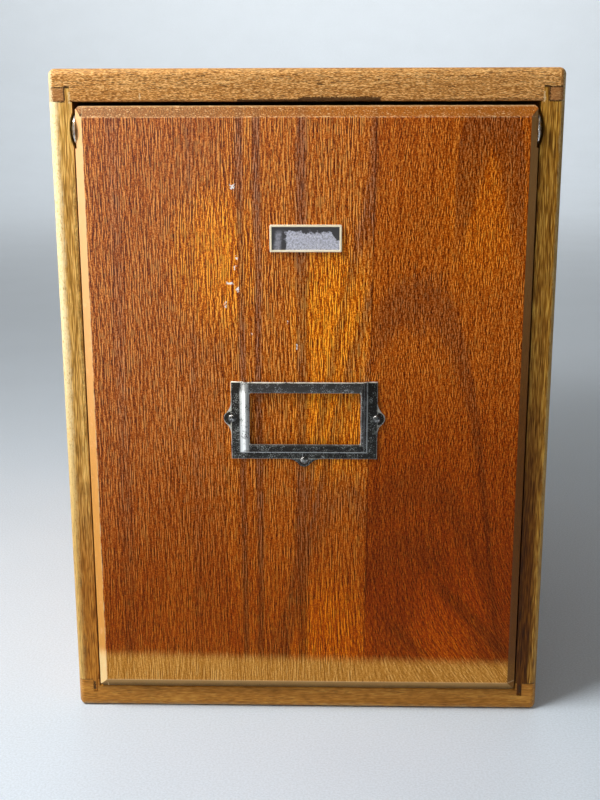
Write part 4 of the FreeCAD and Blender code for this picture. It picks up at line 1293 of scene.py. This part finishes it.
@dataclass
class Drawers:
    """Twelve drawers with turned knobs."""

    count: int = 12
    pitch: float = 21.358
    top_knob: float = 259.92
    front_face: float = -161.95
    knob_profile: tuple[Spot, ...] = ((0.0, 0.0), (0.0, 3.4), (0.5, 3.5), (0.9, 3.2), (1.4, 2.6), (2.6, 2.35),
                                      (4.2, 2.4), (5.2, 2.9), (5.8, 3.9), (6.3, 4.7), (6.9, 5.0), (7.6, 4.9),
                                      (8.3, 4.3), (8.7, 3.2), (8.9, 1.7), (9.0, 0.0))

    def dress(self) -> None:
        """Gives the drawers their woods."""
        front = Oak("drawer_front_oak", Lay.FRONT, deep=(0.17, 0.07, 0.02), middle=(0.40, 0.19, 0.06),
                    pale=(0.62, 0.36, 0.14), seed=71.0, pith=(140.0, -60.0)).material()
        rail = Oak("drawer_rail_wood", Lay.RAIL, deep=(0.36, 0.22, 0.10), middle=(0.56, 0.40, 0.21),
                   pale=(0.72, 0.56, 0.34), thread_share=0.7, dash_share=0.25, gloss=0.0, rough=0.6,
                   seed=83.0).material()
        bottom = PressedBoard().material()
        for number in range(1, self.count + 1):
            dress_node(f"drawer_{number:02d}_front", front, 0.2)
            dress_node(f"drawer_{number:02d}_frame", rail)
            dress_node(f"drawer_{number:02d}_bottom", bottom)

    def build_knobs(self) -> None:
        """Turns one knob for each drawer."""
        brass = Metal("knob_brass", (0.30, 0.19, 0.06), (0.78, 0.56, 0.24), 0.42, 0.24, 0.46, 2.2, 0.03).material()
        for number in range(1, self.count + 1):
            level = self.top_knob - (number - 1) * self.pitch
            mesh = bmesh.new()
            revolve(mesh, self.knob_profile, (0.0, self.front_face, level), Vector((0, -1, 0)), 40)
            drawer = f"drawer_{number:02d}"
            piece = add_piece(f"{drawer}_turned_knob", mesh, brass, drawer, [f"{drawer}_knob"])
            shade_smooth(piece, 50.0)


@dataclass
class Studio:
    """Camera, floor and light."""

    focal: float = 54.0
    eye: tuple[float, float, float] = (11.5, -545.4, 298.4)
    yaw: float = -1.507
    pitch: float = 14.31
    roll: float = -0.149

    def add_camera(self) -> None:
        """Sets the camera where the photograph was taken from."""
        yaw, pitch, roll = (math.radians(angle) for angle in (self.yaw, self.pitch, self.roll))
        forward = Vector((math.sin(yaw) * math.cos(pitch), math.cos(yaw) * math.cos(pitch), -math.sin(pitch)))
        right = Vector((math.cos(yaw), -math.sin(yaw), 0.0))
        up = right.cross(forward)
        turned_right = right * math.cos(roll) + up * math.sin(roll)
        turned_up = up * math.cos(roll) - right * math.sin(roll)
        lens = bpy.data.cameras.new("camera")
        lens.lens = self.focal
        lens.sensor_width = 36.0
        lens.clip_start = 0.01
        lens.clip_end = 60.0
        camera = bpy.data.objects.new("camera", lens)
        bpy.context.scene.collection.objects.link(camera)
        turn = Matrix((turned_right, turned_up, -forward)).transposed().to_4x4()
        spot = Vector((self.eye[0], self.eye[1] + FRONT_PLANE, self.eye[2])) * MM
        camera.matrix_world = Matrix.Translation(spot) @ turn
        bpy.context.scene.camera = camera

    def add_floor(self) -> None:
        """Lays a pale floor that rises far away all round."""
        profile = [(0.0, 0.0), (2.6, 0.0), (3.2, 0.08), (3.8, 0.34), (4.3, 0.85), (4.6, 1.6), (4.7, 3.4)]
        turns = 96
        mesh = bmesh.new()
        rings = []
        for radius, height in profile[1:]:
            ring = []
            for step in range(turns):
                angle = 2 * math.pi * step / turns
                ring.append(mesh.verts.new((radius * math.cos(angle), radius * math.sin(angle), height)))
            rings.append(ring)
        mesh.faces.new(rings[0])
        for lower, upper in zip(rings, rings[1:]):
            for step in range(turns):
                other = (step + 1) % turns
                mesh.faces.new((lower[step], upper[step], upper[other], lower[other]))
        data = bpy.data.meshes.new("floor")
        mesh.to_mesh(data)
        mesh.free()
        data.materials.append(CounterTop().material())
        data.shade_smooth()
        floor = bpy.data.objects.new("floor", data)
        bpy.context.scene.collection.objects.link(floor)

    def add_lamp(self, name: str, spot: tuple[float, float, float], aim: tuple[float, float, float],
                 size: float, power: float, colour: Colour) -> None:
        """Adds one soft square lamp.

        Args:
            name: name of the lamp.
            spot: where it stands, in metres.
            aim: what it faces, in metres.
            size: side of the square, in metres.
            power: watts.
            colour: its colour.
        """
        lamp = bpy.data.lights.new(name, "AREA")
        lamp.size = size
        lamp.energy = power
        lamp.color = colour
        holder = bpy.data.objects.new(name, lamp)
        holder.location = spot
        holder.rotation_euler = (Vector(aim) - Vector(spot)).to_track_quat("-Z", "Y").to_euler()
        bpy.context.scene.collection.objects.link(holder)

    def light(self) -> None:
        """Soft daylight from the left and above."""
        self.add_lamp("sky", (-0.44, -0.42, 0.78), (0.0, -0.18, 0.20), 0.36, 8.2, (1.0, 0.985, 0.95))
        self.add_lamp("window", (-1.5, -0.42, 0.40), (0.0, -0.15, 0.15), 0.8, 7.0, (1.0, 0.99, 0.97))
        self.add_lamp("ceiling", (0.1, -0.4, 1.9), (0.0, 0.0, 0.1), 1.4, 1.8, (1.0, 0.92, 0.80))
        self.add_lamp("bounce", (-0.55, -1.7, 0.45), (0.0, -0.18, 0.18), 0.8, 2.0, (1.0, 0.94, 0.84))
        self.add_lamp("backdrop", (0.0, 3.0, 2.4), (0.0, 4.4, 0.2), 2.4, 60.0, (1.0, 0.95, 0.88))
        world = bpy.data.worlds.new("room")
        world.use_nodes = True
        world.node_tree.nodes["Background"].inputs["Color"].default_value = (0.82, 0.73, 0.60, 1.0)
        world.node_tree.nodes["Background"].inputs["Strength"].default_value = 0.14
        bpy.context.scene.world = world
        bpy.context.scene.view_settings.view_transform = "Standard"

    def build(self) -> None:
        """Sets up the whole studio."""
        self.add_camera()
        self.add_floor()
        self.light()


def main() -> None:
    """Dresses the cabinet and sets up the studio."""
    logging.basicConfig(level=logging.INFO, format="%(name)s: %(message)s")
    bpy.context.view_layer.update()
    Case().dress()
    door = Door()
    door.dress()
    door.build_buttons()
    holder = LabelHolder()
    holder.build_frame()
    holder.build_pins()
    Nameplate().build()
    drawers = Drawers()
    drawers.dress()
    drawers.build_knobs()
    Studio().build()


if __name__ == "__main__":
    main()
